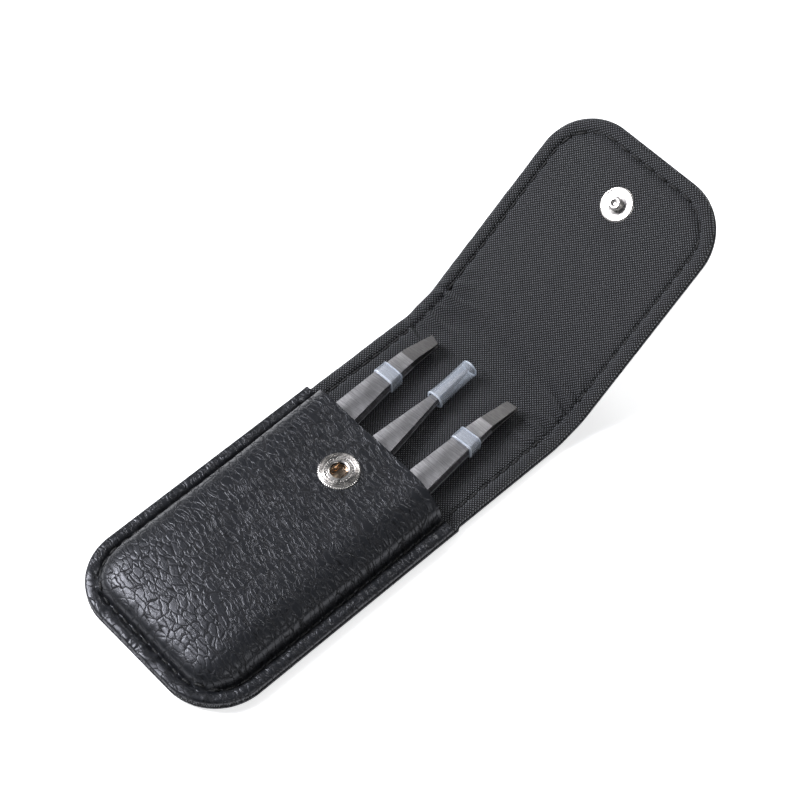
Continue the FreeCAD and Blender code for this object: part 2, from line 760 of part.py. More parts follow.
def stitch_bar(centre, heading, length, low, high):
    """One stitch: a bar with round ends."""
    half = float(S["stitch_wide"]) / 2
    reach = length / 2 - half
    a, b = Vector(-reach, -half, 0), Vector(reach, -half, 0)
    c, d = Vector(reach, half, 0), Vector(-reach, half, 0)
    edges = [
        Part.makeLine(a, b),
        Part.Arc(b, Vector(reach + half, 0, 0), c).toShape(),
        Part.makeLine(c, d),
        Part.Arc(d, Vector(-reach - half, 0, 0), a).toShape(),
    ]
    bar = Part.Face(Part.Wire(edges)).extrude(Vector(0, 0, high - low))
    turn = Rotation(Vector(0, 0, 1), heading)
    bar.Placement = Placement(Vector(centre.x, centre.y, low), turn)
    return bar


def stitch_row(total, point, pitch, layers):
    """Bars at an even pitch along a seam, in each of the given layers."""
    count = max(int(round(total / pitch)), 1)
    step = total / count
    length = step - float(S["stitch_gap"])
    bars = []
    for low, high in layers:
        for i in range(count):
            centre, heading = point((i + 0.5) * step)
            bars.append(stitch_bar(centre, heading, length, low, high))
    return bars


def straight_rows(start_y, end_y, half, pitch, layers):
    """The same, for a seam's two straight runs."""
    bars = []
    for side in (-1, 1):
        bars += stitch_row(
            end_y - start_y,
            lambda run, side=side: (Vector(side * half, start_y + run, 0), 90.0),
            pitch,
            layers,
        )
    return bars


def make_threads():
    high = float(S["stitch_high"])
    groove_top = float(S["groove_deep"])
    under = (groove_top - high, groove_top)
    flange_top, stack_top = float(FLANGE_TOP), float(STACK_TOP)
    half, radius = float(SEAM_HALF), float(SEAM_ROUND)
    seam_low = float(BOTTOM_Y + S["seam_inset"])
    mouth_y, crease_y = float(MOUTH_Y), float(CREASE_Y)
    end_gap = float(S["stitch_gap"])

    total, point = seam_path(mouth_y - end_gap, seam_low, half, radius)
    layers = [under, (flange_top, flange_top + high)]
    bars = stitch_row(total, point, float(S["pocket_pitch"]), layers)
    shaped("pocket_thread", Part.makeCompound(bars))

    layers = [under, (stack_top, stack_top + high)]
    bars = straight_rows(
        mouth_y + end_gap, crease_y - 2 * end_gap, half, float(S["pocket_pitch"]), layers
    )
    shaped("back_thread", Part.makeCompound(bars))

    total, point = seam_path(2 * end_gap, float(FLAP_SEAM_END), half, radius)
    bars = stitch_row(total, point, float(S["flap_pitch"]), layers)
    fold_flap(shaped("flap_thread", Part.makeCompound(bars)))


# ---------------------------------------------------------------------------------------------
# Snap fastener
# ---------------------------------------------------------------------------------------------


RIM_SHARE = 0.55  # height of the socket's upright rim, as a share of the socket's
WIRE_SLOT_PLAY = 0.02  # gap above and below a spring wire in its groove
WIRE_END_PLAY = 0.15  # gap between a wire's end and the groove's wall
LIP_HIGH = 0.06  # top of the wires' groove to the foot of the hole's rounded lip
RIVET_SHORT = 0.1  # top of the rivet tube to the spring wires

# (share of radius, share of height) along the outsides of the stud's head and of the cap
STUD_FLANGE_RIM = 0.6
STUD_BEVEL = 0.4
STUD_HEAD = ((1.0, 0.62), (1.0, 0.82), (0.66, 1.0), (0.3, 1.0), (0.3, 0.82), (0.0, 0.82))
NECK_TOP = 0.5
CAP_DOME = ((0.0, 1.0), (0.6, 1.0), (0.88, 0.72), (1.0, 0.3), (1.0, 0.0))


def make_snap():
    make_socket()
    make_spring_wires()
    make_rivet()
    make_stud()
    make_snap_cap()


def make_socket():
    high, bore, outer = S["socket_high"], SOCKET_BORE, S["socket_round"]
    seat = EYELET_TUBE + S["hole_play"] * 2
    slot_low = WIRE_HIGH - S["wire_thick"] / 2 - WIRE_SLOT_PLAY
    slot_high = WIRE_HIGH + S["wire_thick"] / 2 + WIRE_SLOT_PLAY
    socket = turned(
        "snap_socket",
        [
            (seat, ZERO),
            (outer, ZERO),
            (outer, high * RIM_SHARE),
            (outer - S["socket_chamfer"], high),
            (bore + S["socket_lip"], high),
            (bore, slot_high + LIP_HIGH),
            (bore, slot_high),
            (WIRE_GROOVE, slot_high),
            (WIRE_GROOVE, slot_low),
            (seat, slot_low),
        ],
    )
    put(socket, S["snap_side"], SOCKET_Y, SOCKET_SEAT)


def make_spring_wires():
    wires = []
    across = float(WIRE_AT) + float(S["wire_thick"]) / 2
    reach = math.sqrt(max(float(WIRE_GROOVE) ** 2 - across**2, 0.0)) - WIRE_END_PLAY
    for side in (-1, 1):
        wire = doc.addObject("Part::Cylinder", "spring_wire")
        bind(wire, "Radius", S["wire_thick"] / 2)
        wire.Height = 2 * reach
        wire.Placement = Placement(
            Vector(side * float(WIRE_AT), -reach, 0), Rotation(Vector(1, 0, 0), -90)
        )
        bind(wire, ".Placement.Base.x", WIRE_AT * side)
        wires.append(wire)
    pair = doc.addObject("Part::Compound", "snap_spring_wires")
    pair.Links = wires
    keep(pair, "snap_spring_wires")
    put(pair, S["snap_side"], SOCKET_Y, SOCKET_SEAT + WIRE_HIGH)


def make_rivet():
    tube, wall = EYELET_TUBE, S["eyelet_wall"]
    thin = S["pocket_lining_thick"]
    wires_low = WIRE_HIGH - S["wire_thick"] / 2
    tube_top = thin + S["leather_thick"] + wires_low - RIVET_SHORT
    eyelet = turned(
        "snap_rivet",
        [
            (ZERO, ZERO),
            (S["eyelet_round"], ZERO),
            (S["eyelet_round"], thin),
            (tube, thin),
            (tube, tube_top),
            (tube - wall, tube_top),
            (tube - wall, thin),
            (ZERO, thin),
        ],
    )
    put(eyelet, S["snap_side"], SOCKET_Y, CEILING - thin)


def make_stud():
    flange, tall = S["stud_flange"], S["stud_tall"]
    head = [(S["stud_head"] * out, flange + tall * up) for out, up in STUD_HEAD]
    stud = turned(
        "snap_stud",
        [
            (ZERO, ZERO),
            (S["stud_round"], ZERO),
            (S["stud_round"], flange * STUD_FLANGE_RIM),
            (S["stud_round"] - STUD_BEVEL, flange),
            (S["stud_neck"], flange),
            (S["stud_neck"], flange + tall * NECK_TOP),
        ]
        + head,
    )
    fold_flap(stud, S["snap_side"], SNAP_REACH, STACK_TOP)


def make_snap_cap():
    post = S["post_round"]
    dome = [(S["cap_round"] * out, -(S["cap_high"] * up)) for out, up in CAP_DOME]
    cap = turned("snap_cap", dome + [(post, ZERO), (post, STACK_TOP), (ZERO, STACK_TOP)])
    fold_flap(cap, S["snap_side"], SNAP_REACH, ZERO)


# ---------------------------------------------------------------------------------------------
# Tweezers: a welded tail and two arms to a pair, drawn from the pocket's mouth
# ---------------------------------------------------------------------------------------------


def strip_profile(sign, bows, thicknesses, places):
    """Side view of an arm, as (along, up) corners: its inner face out, its outer face back."""
    inner = [(place, bow * sign) for place, bow in zip(places, bows)]
    outer = [
        (place, (bow + thick) * sign)
        for place, bow, thick in zip(places, bows, thicknesses)
    ]
    return inner + outer[::-1]


def free_sketch(label, corners, turn):
    sketch = doc.addObject("Sketcher::SketchObject", label)
    sketch.Placement = Placement(Vector(0, 0, 0), turn)
    draw_outline(sketch, corners)
    return sketch


def extruded(label, sketch, length):
    """A prism drawn to both sides of its sketch."""
    prism = doc.addObject("Part::Extrusion", label)
    prism.Base = sketch
    prism.DirMode = "Normal"
    prism.Solid = True
    prism.Symmetric = True
    bind(prism, "LengthFwd", length)
    return prism


def make_arm(label, sign, bows, plan):
    """An arm: where its side view and its plan, each drawn through, have metal in common."""
    thick, tip = S["arm_thick"], S["tip_thick"]
    root = -ARM_ROOT + S["root_gap"]
    places = (root, -ARM_SHOULDER, ARM_NOSE, ARM_TIP + CUT_OVER)
    profile = strip_profile(sign, bows, (thick, thick, thick, tip), places)
    upright = Rotation(Vector(0, 1, 0), Vector(0, 0, 1), Vector(1, 0, 0), "ZXY")
    side_view = extruded(
        f"{label}_side", free_sketch(f"{label}_side_sketch", profile, upright), S["shoulder_half"] * 4
    )
    plan_view = extruded(
        f"{label}_plan", free_sketch(f"{label}_plan_sketch", plan, Rotation()), ARM_OUTER * 4
    )
    arm = doc.addObject("Part::Common", label)
    arm.Base = side_view
    arm.Tool = plan_view
    return keep(arm, label)


def arm_plan(mouth_half, nose_half, tip_corners):
    """Plan of an arm: from its root, over its widest place, to the corners of its tip."""
    root = -ARM_ROOT
    left_side = [
        (-nose_half, ARM_NOSE),
        (-mouth_half, ZERO),
        (-S["shoulder_half"], -ARM_SHOULDER),
        (-S["tail_half"], root),
    ]
    right_side = [(-x, y) for x, y in reversed(left_side)]
    return right_side + tip_corners + left_side


FLAT_PAIR = (S["root_bow"], S["arm_bow"], S["nose_bow"], S["tip_bow"])
POINTED_PAIR = (S["root_bow"], S["arm_bow"], S["point_bow"], S["point_tip_bow"])

WAIST_SHARE = 0.92
TWEEZERS = {
    "left": {
        "side": LEFT_SIDE,
        "bows": FLAT_PAIR,
        "plan": arm_plan(
            S["flat_mouth_half"],
            S["flat_nose_half"],
            [
                (S["flat_nose_half"], ARM_TIP - S["tip_flare"]),
                (S["left_tip_wide"], ARM_TIP - S["left_tip_slant"]),
                (-S["left_tip_near"], ARM_TIP),
            ],
        ),
    },
    "middle": {
        "side": S["middle_side"],
        "bows": POINTED_PAIR,
        "plan": arm_plan(
            S["point_mouth_half"],
            S["point_nose_half"],
            [
                (S["point_tip_half"], ARM_TIP - S["tip_slant"]),
                (-S["point_tip_half"], ARM_TIP - S["tip_slant"]),
            ],
        ),
    },
    "right": {
        "side": RIGHT_SIDE,
        "bows": FLAT_PAIR,
        "plan": arm_plan(
            S["flat_mouth_half"],
            S["flat_nose_half"],
            [
                (S["flat_nose_half"] * WAIST_SHARE, ARM_TIP - S["tip_flare"]),
                (S["right_tip_wide"], ARM_TIP),
                (-S["right_tip_near"], ARM_TIP - S["tip_slant"]),
            ],
        ),
    },
}


def put_in_pair(thing, side, along=ZERO, up=ZERO):
    """Place a piece of a pair of tweezers: a distance along the pair, from the mouth."""
    yaw = S[f"{side}_yaw"]
    x = TWEEZERS[side]["side"] - along * sine(yaw)
    y = MOUTH_Y + along * cosine(yaw)
    return put(thing, x, y, TWEEZER_MID + up, Vector(0, 0, 1), yaw)


def make_tail(side):
    """The welded tail: both strips lie flat on each other."""
    end = -ARM_ROOT
    half, high = S["tail_half"], S["root_bow"] + S["arm_thick"]
    corners = [
        (-half, end - S["tail_long"], S["tail_round"]),
        (half, end - S["tail_long"], S["tail_round"]),
        (half, end),
        (-half, end),
    ]
    tail = slab(f"{side}_tweezer_tail", corners, -high, high * 2)
    put_in_pair(tail, side)


def make_tweezers():
    for side, pair in TWEEZERS.items():
        make_tail(side)
        for name, sign in (("upper", 1), ("lower", -1)):
            arm = make_arm(f"{side}_tweezer_{name}_arm", sign, pair["bows"], pair["plan"])
            put_in_pair(arm, side)


# ---------------------------------------------------------------------------------------------
# Silicone bands around the flat-tipped pairs, and the cap on the pointed pair
# ---------------------------------------------------------------------------------------------


BAND_CORNERS = (2.0, 0.8)  # radii of a band's outer and inner corners, in walls


def rounded_ring(half_wide, half_high, radius):
    return [
        (-half_wide, -half_high, radius),
        (half_wide, -half_high, radius),
        (half_wide, half_high, radius),
        (-half_wide, half_high, radius),
    ]


def make_band(side, at):
    """A band: a flat tube around both arms, drawn on XZ and padded along the arms."""
    wide, high, wall = BAND_HALF, BAND_BOW, S["band_wall"]
    band = new_body(f"{side}_band")
    sketch = body_sketch(
        band,
        "XZ_Plane",
        f"{side}_band_sketch",
        rounded_ring(wide + wall, high + wall, wall * BAND_CORNERS[0]),
        rounded_ring(wide, high, wall * BAND_CORNERS[1]),
        offset=-S["band_long"],
    )
    pad(band, f"{side}_band_pad", sketch, S["band_long"])
    put_in_pair(band, side, at)


def make_cap():
    """The tip cap: a clear tube, open at both ends."""
    tubes = []
    for name, radius, over in (
        ("cap_outer", SLEEVE_ROUND, 0.0),
        ("cap_bore", SLEEVE_BORE, CUT_OVER),
    ):
        tube = doc.addObject("Part::Cylinder", name)
        bind(tube, "Radius", radius)
        bind(tube, "Height", S["nose_long"] + 2 * over)
        tube.Placement = Placement(Vector(0, -over, 0), Rotation(Vector(1, 0, 0), -90))
        tubes.append(tube)
    cap = doc.addObject("Part::Cut", "tip_cap")
    cap.Base, cap.Tool = tubes
    keep(cap, "tip_cap")
    put_in_pair(cap, "middle", SLEEVE_AT)


# ---------------------------------------------------------------------------------------------
# Build, check and write
# ---------------------------------------------------------------------------------------------


def check_document():
    doc.recompute()
    for thing in doc.Objects:
        if "Invalid" in thing.State or "Error" in thing.State:
            raise ValueError(f"{thing.Label} failed: {thing.State}")
    for piece in pieces:
        if piece.Shape.isNull() or not piece.Shape.isValid():
            raise ValueError(f"{piece.Label} has no valid shape")


def write_pieces():
    os.makedirs("parts", exist_ok=True)
    for piece in pieces:
        piece.Shape.exportStep(f"parts/{piece.Label}.step")
        box = piece.Shape.BoundBox
        print(
            f"{piece.Label:28s} {len(piece.Shape.Solids):3d} solid(s)"
            f" {piece.Shape.Volume:9.2f} mm3  z {box.ZMin:7.2f} to {box.ZMax:6.2f}"
        )


make_back()
make_spine()
make_flap()
make_pocket()
make_threads()
make_snap()
make_tweezers()
make_band("left", LEFT_BAND_AT)
make_band("right", RIGHT_BAND_AT)
make_cap()
check_document()
write_pieces()
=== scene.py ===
import json
import math

import bmesh
import bpy
import numpy as np
from mathutils import Matrix, Vector, noise


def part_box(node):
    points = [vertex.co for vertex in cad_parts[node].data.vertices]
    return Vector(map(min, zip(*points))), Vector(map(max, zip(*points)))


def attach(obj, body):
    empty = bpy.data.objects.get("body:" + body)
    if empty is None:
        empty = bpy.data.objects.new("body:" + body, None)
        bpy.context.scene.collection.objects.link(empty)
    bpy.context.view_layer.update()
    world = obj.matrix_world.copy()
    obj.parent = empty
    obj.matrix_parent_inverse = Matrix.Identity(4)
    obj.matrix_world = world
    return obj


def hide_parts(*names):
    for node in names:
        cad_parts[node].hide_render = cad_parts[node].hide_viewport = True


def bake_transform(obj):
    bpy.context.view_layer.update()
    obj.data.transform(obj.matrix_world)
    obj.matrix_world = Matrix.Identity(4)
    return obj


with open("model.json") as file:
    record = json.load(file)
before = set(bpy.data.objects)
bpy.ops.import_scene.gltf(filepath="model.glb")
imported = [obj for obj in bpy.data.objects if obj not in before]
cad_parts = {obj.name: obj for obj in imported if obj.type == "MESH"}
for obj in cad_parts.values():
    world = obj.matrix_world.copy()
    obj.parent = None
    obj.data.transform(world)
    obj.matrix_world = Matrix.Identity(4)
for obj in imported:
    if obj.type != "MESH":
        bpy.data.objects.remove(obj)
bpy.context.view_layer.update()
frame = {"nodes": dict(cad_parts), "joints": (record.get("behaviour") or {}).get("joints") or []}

# Snap pouch with three pairs of precision tweezers. Lengths here are millimetres until a mesh is
# made; the frame's metres are turned into millimetres as they are read.

MM = 0.001
JOINTS = {joint["name"]: joint for joint in frame["joints"]}


def node_box(name):
    """A CAD node's lowest and highest corners, in millimetres."""
    low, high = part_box(name)
    return np.array(low) / MM, np.array(high) / MM


def joint_place(name):
    """A point on a joint's axis, in millimetres."""
    return np.array(JOINTS[name]["pos_m"]) / MM


# --------------------------------------------------
# Sizes read from the frame
# --------------------------------------------------

BOTTOM_Y = node_box("back_cover")[0][1]
POCKET_HALF, MOUTH_Y, FRONT_TOP = node_box("pocket_front")[1]
STACK_TOP = node_box("back_lining")[1][2]
FLAP_FAR = node_box("flap_cover")[1]
PANEL_HALF = FLAP_FAR[0]
FIRST_CREASE = joint_place("spine_fold")
SECOND_CREASE = joint_place("flap_fold")
AXIS_HIGH = FIRST_CREASE[2]
SPINE_VECTOR = SECOND_CREASE - FIRST_CREASE
SPINE_LONG = float(np.hypot(SPINE_VECTOR[1], SPINE_VECTOR[2]))
FOLD = math.atan2(SPINE_VECTOR[2], SPINE_VECTOR[1])
CREASE_ONE = FIRST_CREASE[1] - BOTTOM_Y
CREASE_TWO = CREASE_ONE + SPINE_LONG
MOUTH_RUN = MOUTH_Y - BOTTOM_Y

LEATHER = 1.1
FRONT_THICK = 0.92 * LEATHER  # pulled a little thinner over the bulge
CORNER_ROUND = 15.0
SEAM_INSET = 3.7
FLAP_LONG = (FLAP_FAR[1] - SECOND_CREASE[1] - AXIS_HIGH * math.sin(2 * FOLD)) / math.cos(2 * FOLD)
SHEET_END = CREASE_TWO + FLAP_LONG


# --------------------------------------------------
# Small tools
# --------------------------------------------------

SHARP_ANGLE = 62.0
BEVEL_ANGLE = 40.0


def smooth(value):
    """0 below 0, 1 above 1, and a smooth step between."""
    value = np.clip(value, 0.0, 1.0)
    return value * value * (3.0 - 2.0 * value)


def hump(value, centre, width):
    """1 at the centre, falling off to both sides."""
    return np.exp(-(((value - centre) / width) ** 2))


def wander(x, y, scale, seed):
    """Smooth noise from -1 to 1 at a place on a sheet; scale is the size of its waves."""
    return noise.noise(Vector((x / scale, y / scale, seed * 7.31)))


def wander_grid(xs, ys, scale, seed):
    """The same noise over a grid of places."""
    flat = [wander(x, y, scale, seed) for x, y in zip(np.ravel(xs), np.ravel(ys))]
    return np.array(flat).reshape(np.shape(xs))


def make_object(name, verts, faces, material, uvs=None, smooth_shade=True):
    """A mesh object from millimetre vertices; uvs hold one pair for each vertex."""
    mesh = bpy.data.meshes.new(name)
    mesh.from_pydata([tuple(v) for v in np.asarray(verts) * MM], [], [tuple(f) for f in faces])
    if uvs is not None:
        layer = mesh.uv_layers.new(name="flat")
        corner_verts = np.zeros(len(mesh.loops), int)
        mesh.loops.foreach_get("vertex_index", corner_verts)
        layer.data.foreach_set("uv", np.asarray(uvs, float)[corner_verts].ravel())
    mesh.materials.append(material)
    mesh.polygons.foreach_set("use_smooth", [smooth_shade] * len(mesh.polygons))
    mesh.set_sharp_from_angle(angle=math.radians(SHARP_ANGLE))
    mesh.update()
    thing = bpy.data.objects.new(name, mesh)
    bpy.context.scene.collection.objects.link(thing)
    return thing


def apply_modifiers(thing):
    """Turn the object's modifiers into its mesh."""
    bpy.context.view_layer.update()
    depsgraph = bpy.context.evaluated_depsgraph_get()
    mesh = bpy.data.meshes.new_from_object(thing.evaluated_get(depsgraph))
    thing.modifiers.clear()
    thing.data = mesh


def bevelled(thing, width):
    """Round an object's sharp edges."""
    modifier = thing.modifiers.new("edges", "BEVEL")
    modifier.width = width * MM
    modifier.segments = 2
    modifier.limit_method = "ANGLE"
    modifier.angle_limit = math.radians(BEVEL_ANGLE)
    modifier.harden_normals = False
    apply_modifiers(thing)


def take_place(piece, slot, body, *nodes):
    """Let a piece stand for CAD nodes, which are hidden; a piece given no body is not attached to one here.
    """
    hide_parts(*nodes)
    if body is not None:
        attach(piece, body)


def tube_faces(rings, sides, closed=False):
    """Faces between rings of points; a closed tube joins its last ring to its first."""
    faces = []
    for i in range(rings if closed else rings - 1):
        j = (i + 1) % rings
        for k in range(sides):
            n = (k + 1) % sides
            faces.append((i * sides + k, i * sides + n, j * sides + n, j * sides + k))
    return faces


def end_faces(rings, sides):
    """The two faces that shut a tube's ends."""
    last = (rings - 1) * sides
    return [tuple(range(sides))[::-1], tuple(range(last, last + sides))]


def grid_faces(rows, columns, start=0, flip=False):
    """Faces of a grid of points."""
    faces = []
    for r in range(rows - 1):
        for c in range(columns - 1):
            a = start + r * columns + c
            quad = (a, a + 1, a + columns + 1, a + columns)
            faces.append(quad[::-1] if flip else quad)
    return faces


def rim_of_grid(rows, columns):
    """The grid's outer vertices, in order, counterclockwise."""
    low = list(range(columns))
    right = [r * columns + columns - 1 for r in range(1, rows)]
    high = [(rows - 1) * columns + c for c in range(columns - 2, -1, -1)]
    left = [r * columns for r in range(rows - 2, 0, -1)]
    return low + right + high + left


def slab_object(name, top, bottom, material, uvs):
    """A closed thick sheet from two grids of points with the same layout."""
    rows, columns = top.shape[:2]
    count = rows * columns
    verts = np.vstack([top.reshape(-1, 3), bottom.reshape(-1, 3)])
    faces = grid_faces(rows, columns) + grid_faces(rows, columns, count, flip=True)
    rim = rim_of_grid(rows, columns)
    for i, a in enumerate(rim):
        b = rim[(i + 1) % len(rim)]
        faces.append((b, a, a + count, b + count))
    flat = uvs.reshape(-1, 2)
    return make_object(name, verts, faces, material, np.vstack([flat, flat]))


# --------------------------------------------------
# Materials
# --------------------------------------------------


class Maker:
    """Builds one node material."""

    def __init__(self, name):
        self.material = bpy.data.materials.new(name)
        self.material.use_nodes = True
        self.tree = self.material.node_tree
        self.shader = self.tree.nodes["Principled BSDF"]

    def node(self, kind, inputs=None, **settings):
        """A node, with its settings, and with values or links fed to its inputs."""
        node = self.tree.nodes.new(kind)
        for name, value in settings.items():
            setattr(node, name, value)
        for name, value in (inputs or {}).items():
            self.feed(node.inputs[name], value)
        return node

    def feed(self, socket, value):
        """Link a node's output to a socket, or set the socket's own value."""
        if isinstance(value, bpy.types.NodeSocket):
            self.tree.links.new(value, socket)
        else:
            socket.default_value = value

    def place_parts(self, place):
        """The first two parts of a place: across and along."""
        parts = self.node("ShaderNodeSeparateXYZ", {0: place})
        return parts.outputs[0], parts.outputs[1]

    def shifted(self, place, by, amount):
        """Move a place by a noise's colour."""
        inputs = {0: by, 1: (amount, amount, 0.0), 2: place}
        return self.node("ShaderNodeVectorMath", inputs, operation="MULTIPLY_ADD").outputs[0]

    def shade(self, **values):
        """Set the shader's sockets; an underscore stands for a space."""
        for name, value in values.items():
            self.feed(self.shader.inputs[name.replace("_", " ")], value)

    def math(self, operation, a, b=0.0, c=0.0):
        """The result of one sum."""
        node = self.node("ShaderNodeMath", operation=operation)
        for socket, value in zip(node.inputs, (a, b, c)):
            self.feed(socket, value)
        return node.outputs[0]

    def between(self, value, low, high, to_low=0.0, to_high=1.0):
        """Carry a value from one range to another, with a smooth step."""
        inputs = {"Value": value, "From Min": low, "From Max": high, "To Min": to_low, "To Max": to_high}
        return self.node("ShaderNodeMapRange", inputs, interpolation_type="SMOOTHSTEP").outputs[0]

    def mix(self, share, a, b):
        """A colour between two."""
        node = self.node("ShaderNodeMix", data_type="RGBA")
        self.feed(node.inputs[0], share)
        self.feed(node.inputs[6], a)
        self.feed(node.inputs[7], b)
        return node.outputs[2]

    def flat_place(self):
        """The place on the flat sheet, in millimetres."""
        return self.node("ShaderNodeUVMap", uv_map="flat").outputs[0]

    def body_place(self):
        """The place in the object's own metres."""
        return self.node("ShaderNodeTexCoord").outputs["Object"]

    def stretch(self, vector, scale, turn=0.0):
        """A place scaled and turned."""
        inputs = {"Vector": vector, "Scale": scale, "Rotation": (0.0, 0.0, turn)}
        return self.node("ShaderNodeMapping", inputs).outputs[0]

    def noise(self, vector, scale, detail=3.0, rough=0.5, output="Fac"):
        """Noise over a place: its value, or its colour."""
        inputs = {"Vector": vector, "Scale": scale, "Detail": detail, "Roughness": rough}
        return self.node("ShaderNodeTexNoise", inputs).outputs[output]

    def bump(self, height, distance, strength=1.0):
        """A normal that a height bends; the distance is in metres."""
        inputs = {"Height": height, "Distance": distance, "Strength": strength}
        return self.node("ShaderNodeBump", inputs).outputs[0]


def grey(value, blue=0.0):
    """A grey colour, a little blue if asked."""
    return (value, value * (1 + 0.3 * blue), value * (1 + blue), 1.0)


LEATHER_GRAIN_TURN = 0.1
WEAVE_PITCH = 0.42
POCKET_UV_START = 300.0


def leather_material():
    """Pebbled black faux leather: soft elongated cells between fine creases, with a low sheen."""
    m = Maker("leather")
    place = m.flat_place()
    moved = m.shifted(place, m.noise(place, 0.2, 2.0, output="Color"), 2.4)
    moved = m.shifted(moved, m.noise(place, 0.8, 2.0, output="Color"), 0.7)
    turned = m.stretch(moved, (1.0, 1.0, 1.0), LEATHER_GRAIN_TURN)

    def cells(across, along):
        """How far each place is from the edge of its cell."""
        settings = {"Vector": m.stretch(turned, (across, along, 1.0)), "Scale": 1.0, "Randomness": 0.9}
        return m.node("ShaderNodeTexVoronoi", settings, feature="DISTANCE_TO_EDGE").outputs["Distance"]

    large, small = cells(0.3, 0.64), cells(0.85, 1.4)
    cloudy = m.noise(place, 0.1, 2.0)
    patchy = m.noise(place, 0.33, 2.0)
    crease_width = m.between(patchy, 0.38, 0.62, 0.012, 0.085)
    crease = m.between(large, 0.0, crease_width)
    wandering = m.noise(m.stretch(turned, (0.13, 0.5, 1.0)), 1.0, 2.0)
    from_line = m.math("ABSOLUTE", m.math("SUBTRACT", wandering, 0.5))
    long_crease = m.between(from_line, 0.0, 0.022)
    groove = m.between(large, 0.0, 0.07)
    pebble = m.between(large, 0.0, 0.17)
    grain = m.between(small, 0.0, 0.14)
    grain_share = m.between(cloudy, 0.4, 0.7, 0.08, 0.3)
    run = m.place_parts(place)[1]
    off_pocket = m.math("LESS_THAN", run, POCKET_UV_START)
    taut = m.between(run, POCKET_UV_START + 3.0, POCKET_UV_START + 11.0, 0.12, 1.0)
    creased = m.math("MAXIMUM", off_pocket, taut)
    height = m.math("MULTIPLY_ADD", crease, 0.35, pebble)
    height = m.math("MULTIPLY_ADD", long_crease, 0.7, height)
    height = m.math("MULTIPLY_ADD", grain, grain_share, height)
    height = m.math("MULTIPLY", height, creased)
    pores = m.noise(place, 4.5, 3.0, 0.6)
    height = m.math("MULTIPLY_ADD", pores, 0.12, height)
    gloss = m.between(pores, 0.25, 0.75, 0.3, 0.38)
    groove_matt = m.between(groove, 0.0, 1.0, 0.54, 0.0)
    # The base colour is near black in the cell grooves and along the long creases, a painted shade.
    m.shade(
        Base_Color=m.mix(m.math("MULTIPLY", groove, long_crease), grey(0.001, 0.3), grey(0.009, 0.3)),
        Roughness=m.math("ADD", gloss, groove_matt),
        Normal=m.bump(height, 0.000065, 0.75),
        Specular_IOR_Level=0.5,
        Specular_Tint=(0.93, 0.94, 1.0, 1),
    )
    return m.material


def nylon_material():
    """Plain-woven black nylon with a low sheen; one set of raised thread crossings is painted bright grey, a
    painted highlight, and the gaps between threads near black, a painted shade.
    """
    m = Maker("nylon")
    place = m.flat_place()
    turns = [m.math("MULTIPLY", part, math.pi / WEAVE_PITCH) for part in m.place_parts(place)]
    across, along = (m.math("SINE", turn) for turn in turns)
    weave = m.math("MULTIPLY", across, along)
    raised = m.math("ABSOLUTE", weave)
    cloudy = m.noise(place, 0.09, 3.0)
    fibres = m.noise(place, 2.2, 2.0)
    knot_highlight = m.between(m.math("MULTIPLY_ADD", fibres, 0.3, weave), 0.2, 0.75)
    warp = m.mix(cloudy, grey(0.003, 0.2), grey(0.006, 0.2))
    # Base colour: near black in the gaps between threads, a painted shade, and bright grey on the crossings
    # where the warp lies over, a painted highlight.
    m.shade(
        Base_Color=m.mix(m.between(raised, 0.0, 0.5), grey(0.001), m.mix(knot_highlight, warp, grey(0.15, 0.12))),
        Roughness=m.between(knot_highlight, 0.0, 1.0, 0.62, 0.38),
        Normal=m.bump(raised, 0.00022, 1.0),
        Specular_IOR_Level=0.35,
        Sheen_Weight=0.03,
        Sheen_Roughness=0.4,
        Sheen_Tint=grey(0.7, 0.1),
    )
    return m.material


def thread_material():
    """Black polyester thread, with its twist."""
    m = Maker("thread")
    twist = m.node(
        "ShaderNodeTexWave",
        {"Vector": m.flat_place(), "Scale": 1.1, "Distortion": 0.4},
        bands_direction="DIAGONAL",
    ).outputs["Fac"]
    m.shade(
        Base_Color=m.mix(twist, grey(0.0015), grey(0.006, 0.1)),
        Roughness=m.between(twist, 0.0, 1.0, 0.7, 0.52),
        Normal=m.bump(twist, 0.00006, 0.8),
    )
    return m.material


def steel_material(name, ground_from):
    """Brushed stainless strip; past ground_from, along the strip, it is ground darker."""
    m = Maker(name)
    place = m.flat_place()
    along = m.place_parts(place)[1]
    ground = m.between(along, ground_from - 0.12, ground_from + 0.12)
    lines = m.noise(m.stretch(place, (0.22, 3.2, 1.0)), 1.0, 5.0, 0.75)
    marks = m.noise(m.stretch(place, (0.4, 5.0, 1.0), 0.25), 1.0, 5.0, 0.75)
    cloudy = m.noise(place, 0.25, 2.0)
    strip = m.mix(m.between(lines, 0.25, 0.75), (0.24, 0.236, 0.243, 1), (0.52, 0.512, 0.528, 1))
    tip = m.mix(m.between(marks, 0.25, 0.75), (0.1, 0.098, 0.098, 1), (0.21, 0.204, 0.204, 1))
    height = m.math("MULTIPLY_ADD", marks, ground, lines)
    m.shade(
        Base_Color=m.mix(ground, strip, tip),
        Roughness=m.between(cloudy, 0.3, 0.7, 0.36, 0.46),
        Normal=m.bump(height, 0.00003, 0.6),
        Metallic=1.0,
        Anisotropic=0.35,
    )
    return m.material


def nickel_material(name, colour, roughness):
    """Plated snap metal with fine handling marks."""
    m = Maker(name)
    place = m.body_place()
    marks = m.noise(m.stretch(place, (900.0, 300.0, 300.0), 0.6), 1.0, 4.0, 0.65)
    stain = m.noise(place, 420.0, 3.0)
    darker = tuple(c * 0.72 for c in colour[:3]) + (1.0,)
    m.shade(
        Base_Color=m.mix(m.between(stain, 0.45, 0.75), colour, darker),
        Roughness=m.between(marks, 0.3, 0.7, roughness * 0.7, roughness * 1.4),
        Normal=m.bump(marks, 0.00001, 0.5),
        Metallic=1.0,
    )
    return m.material


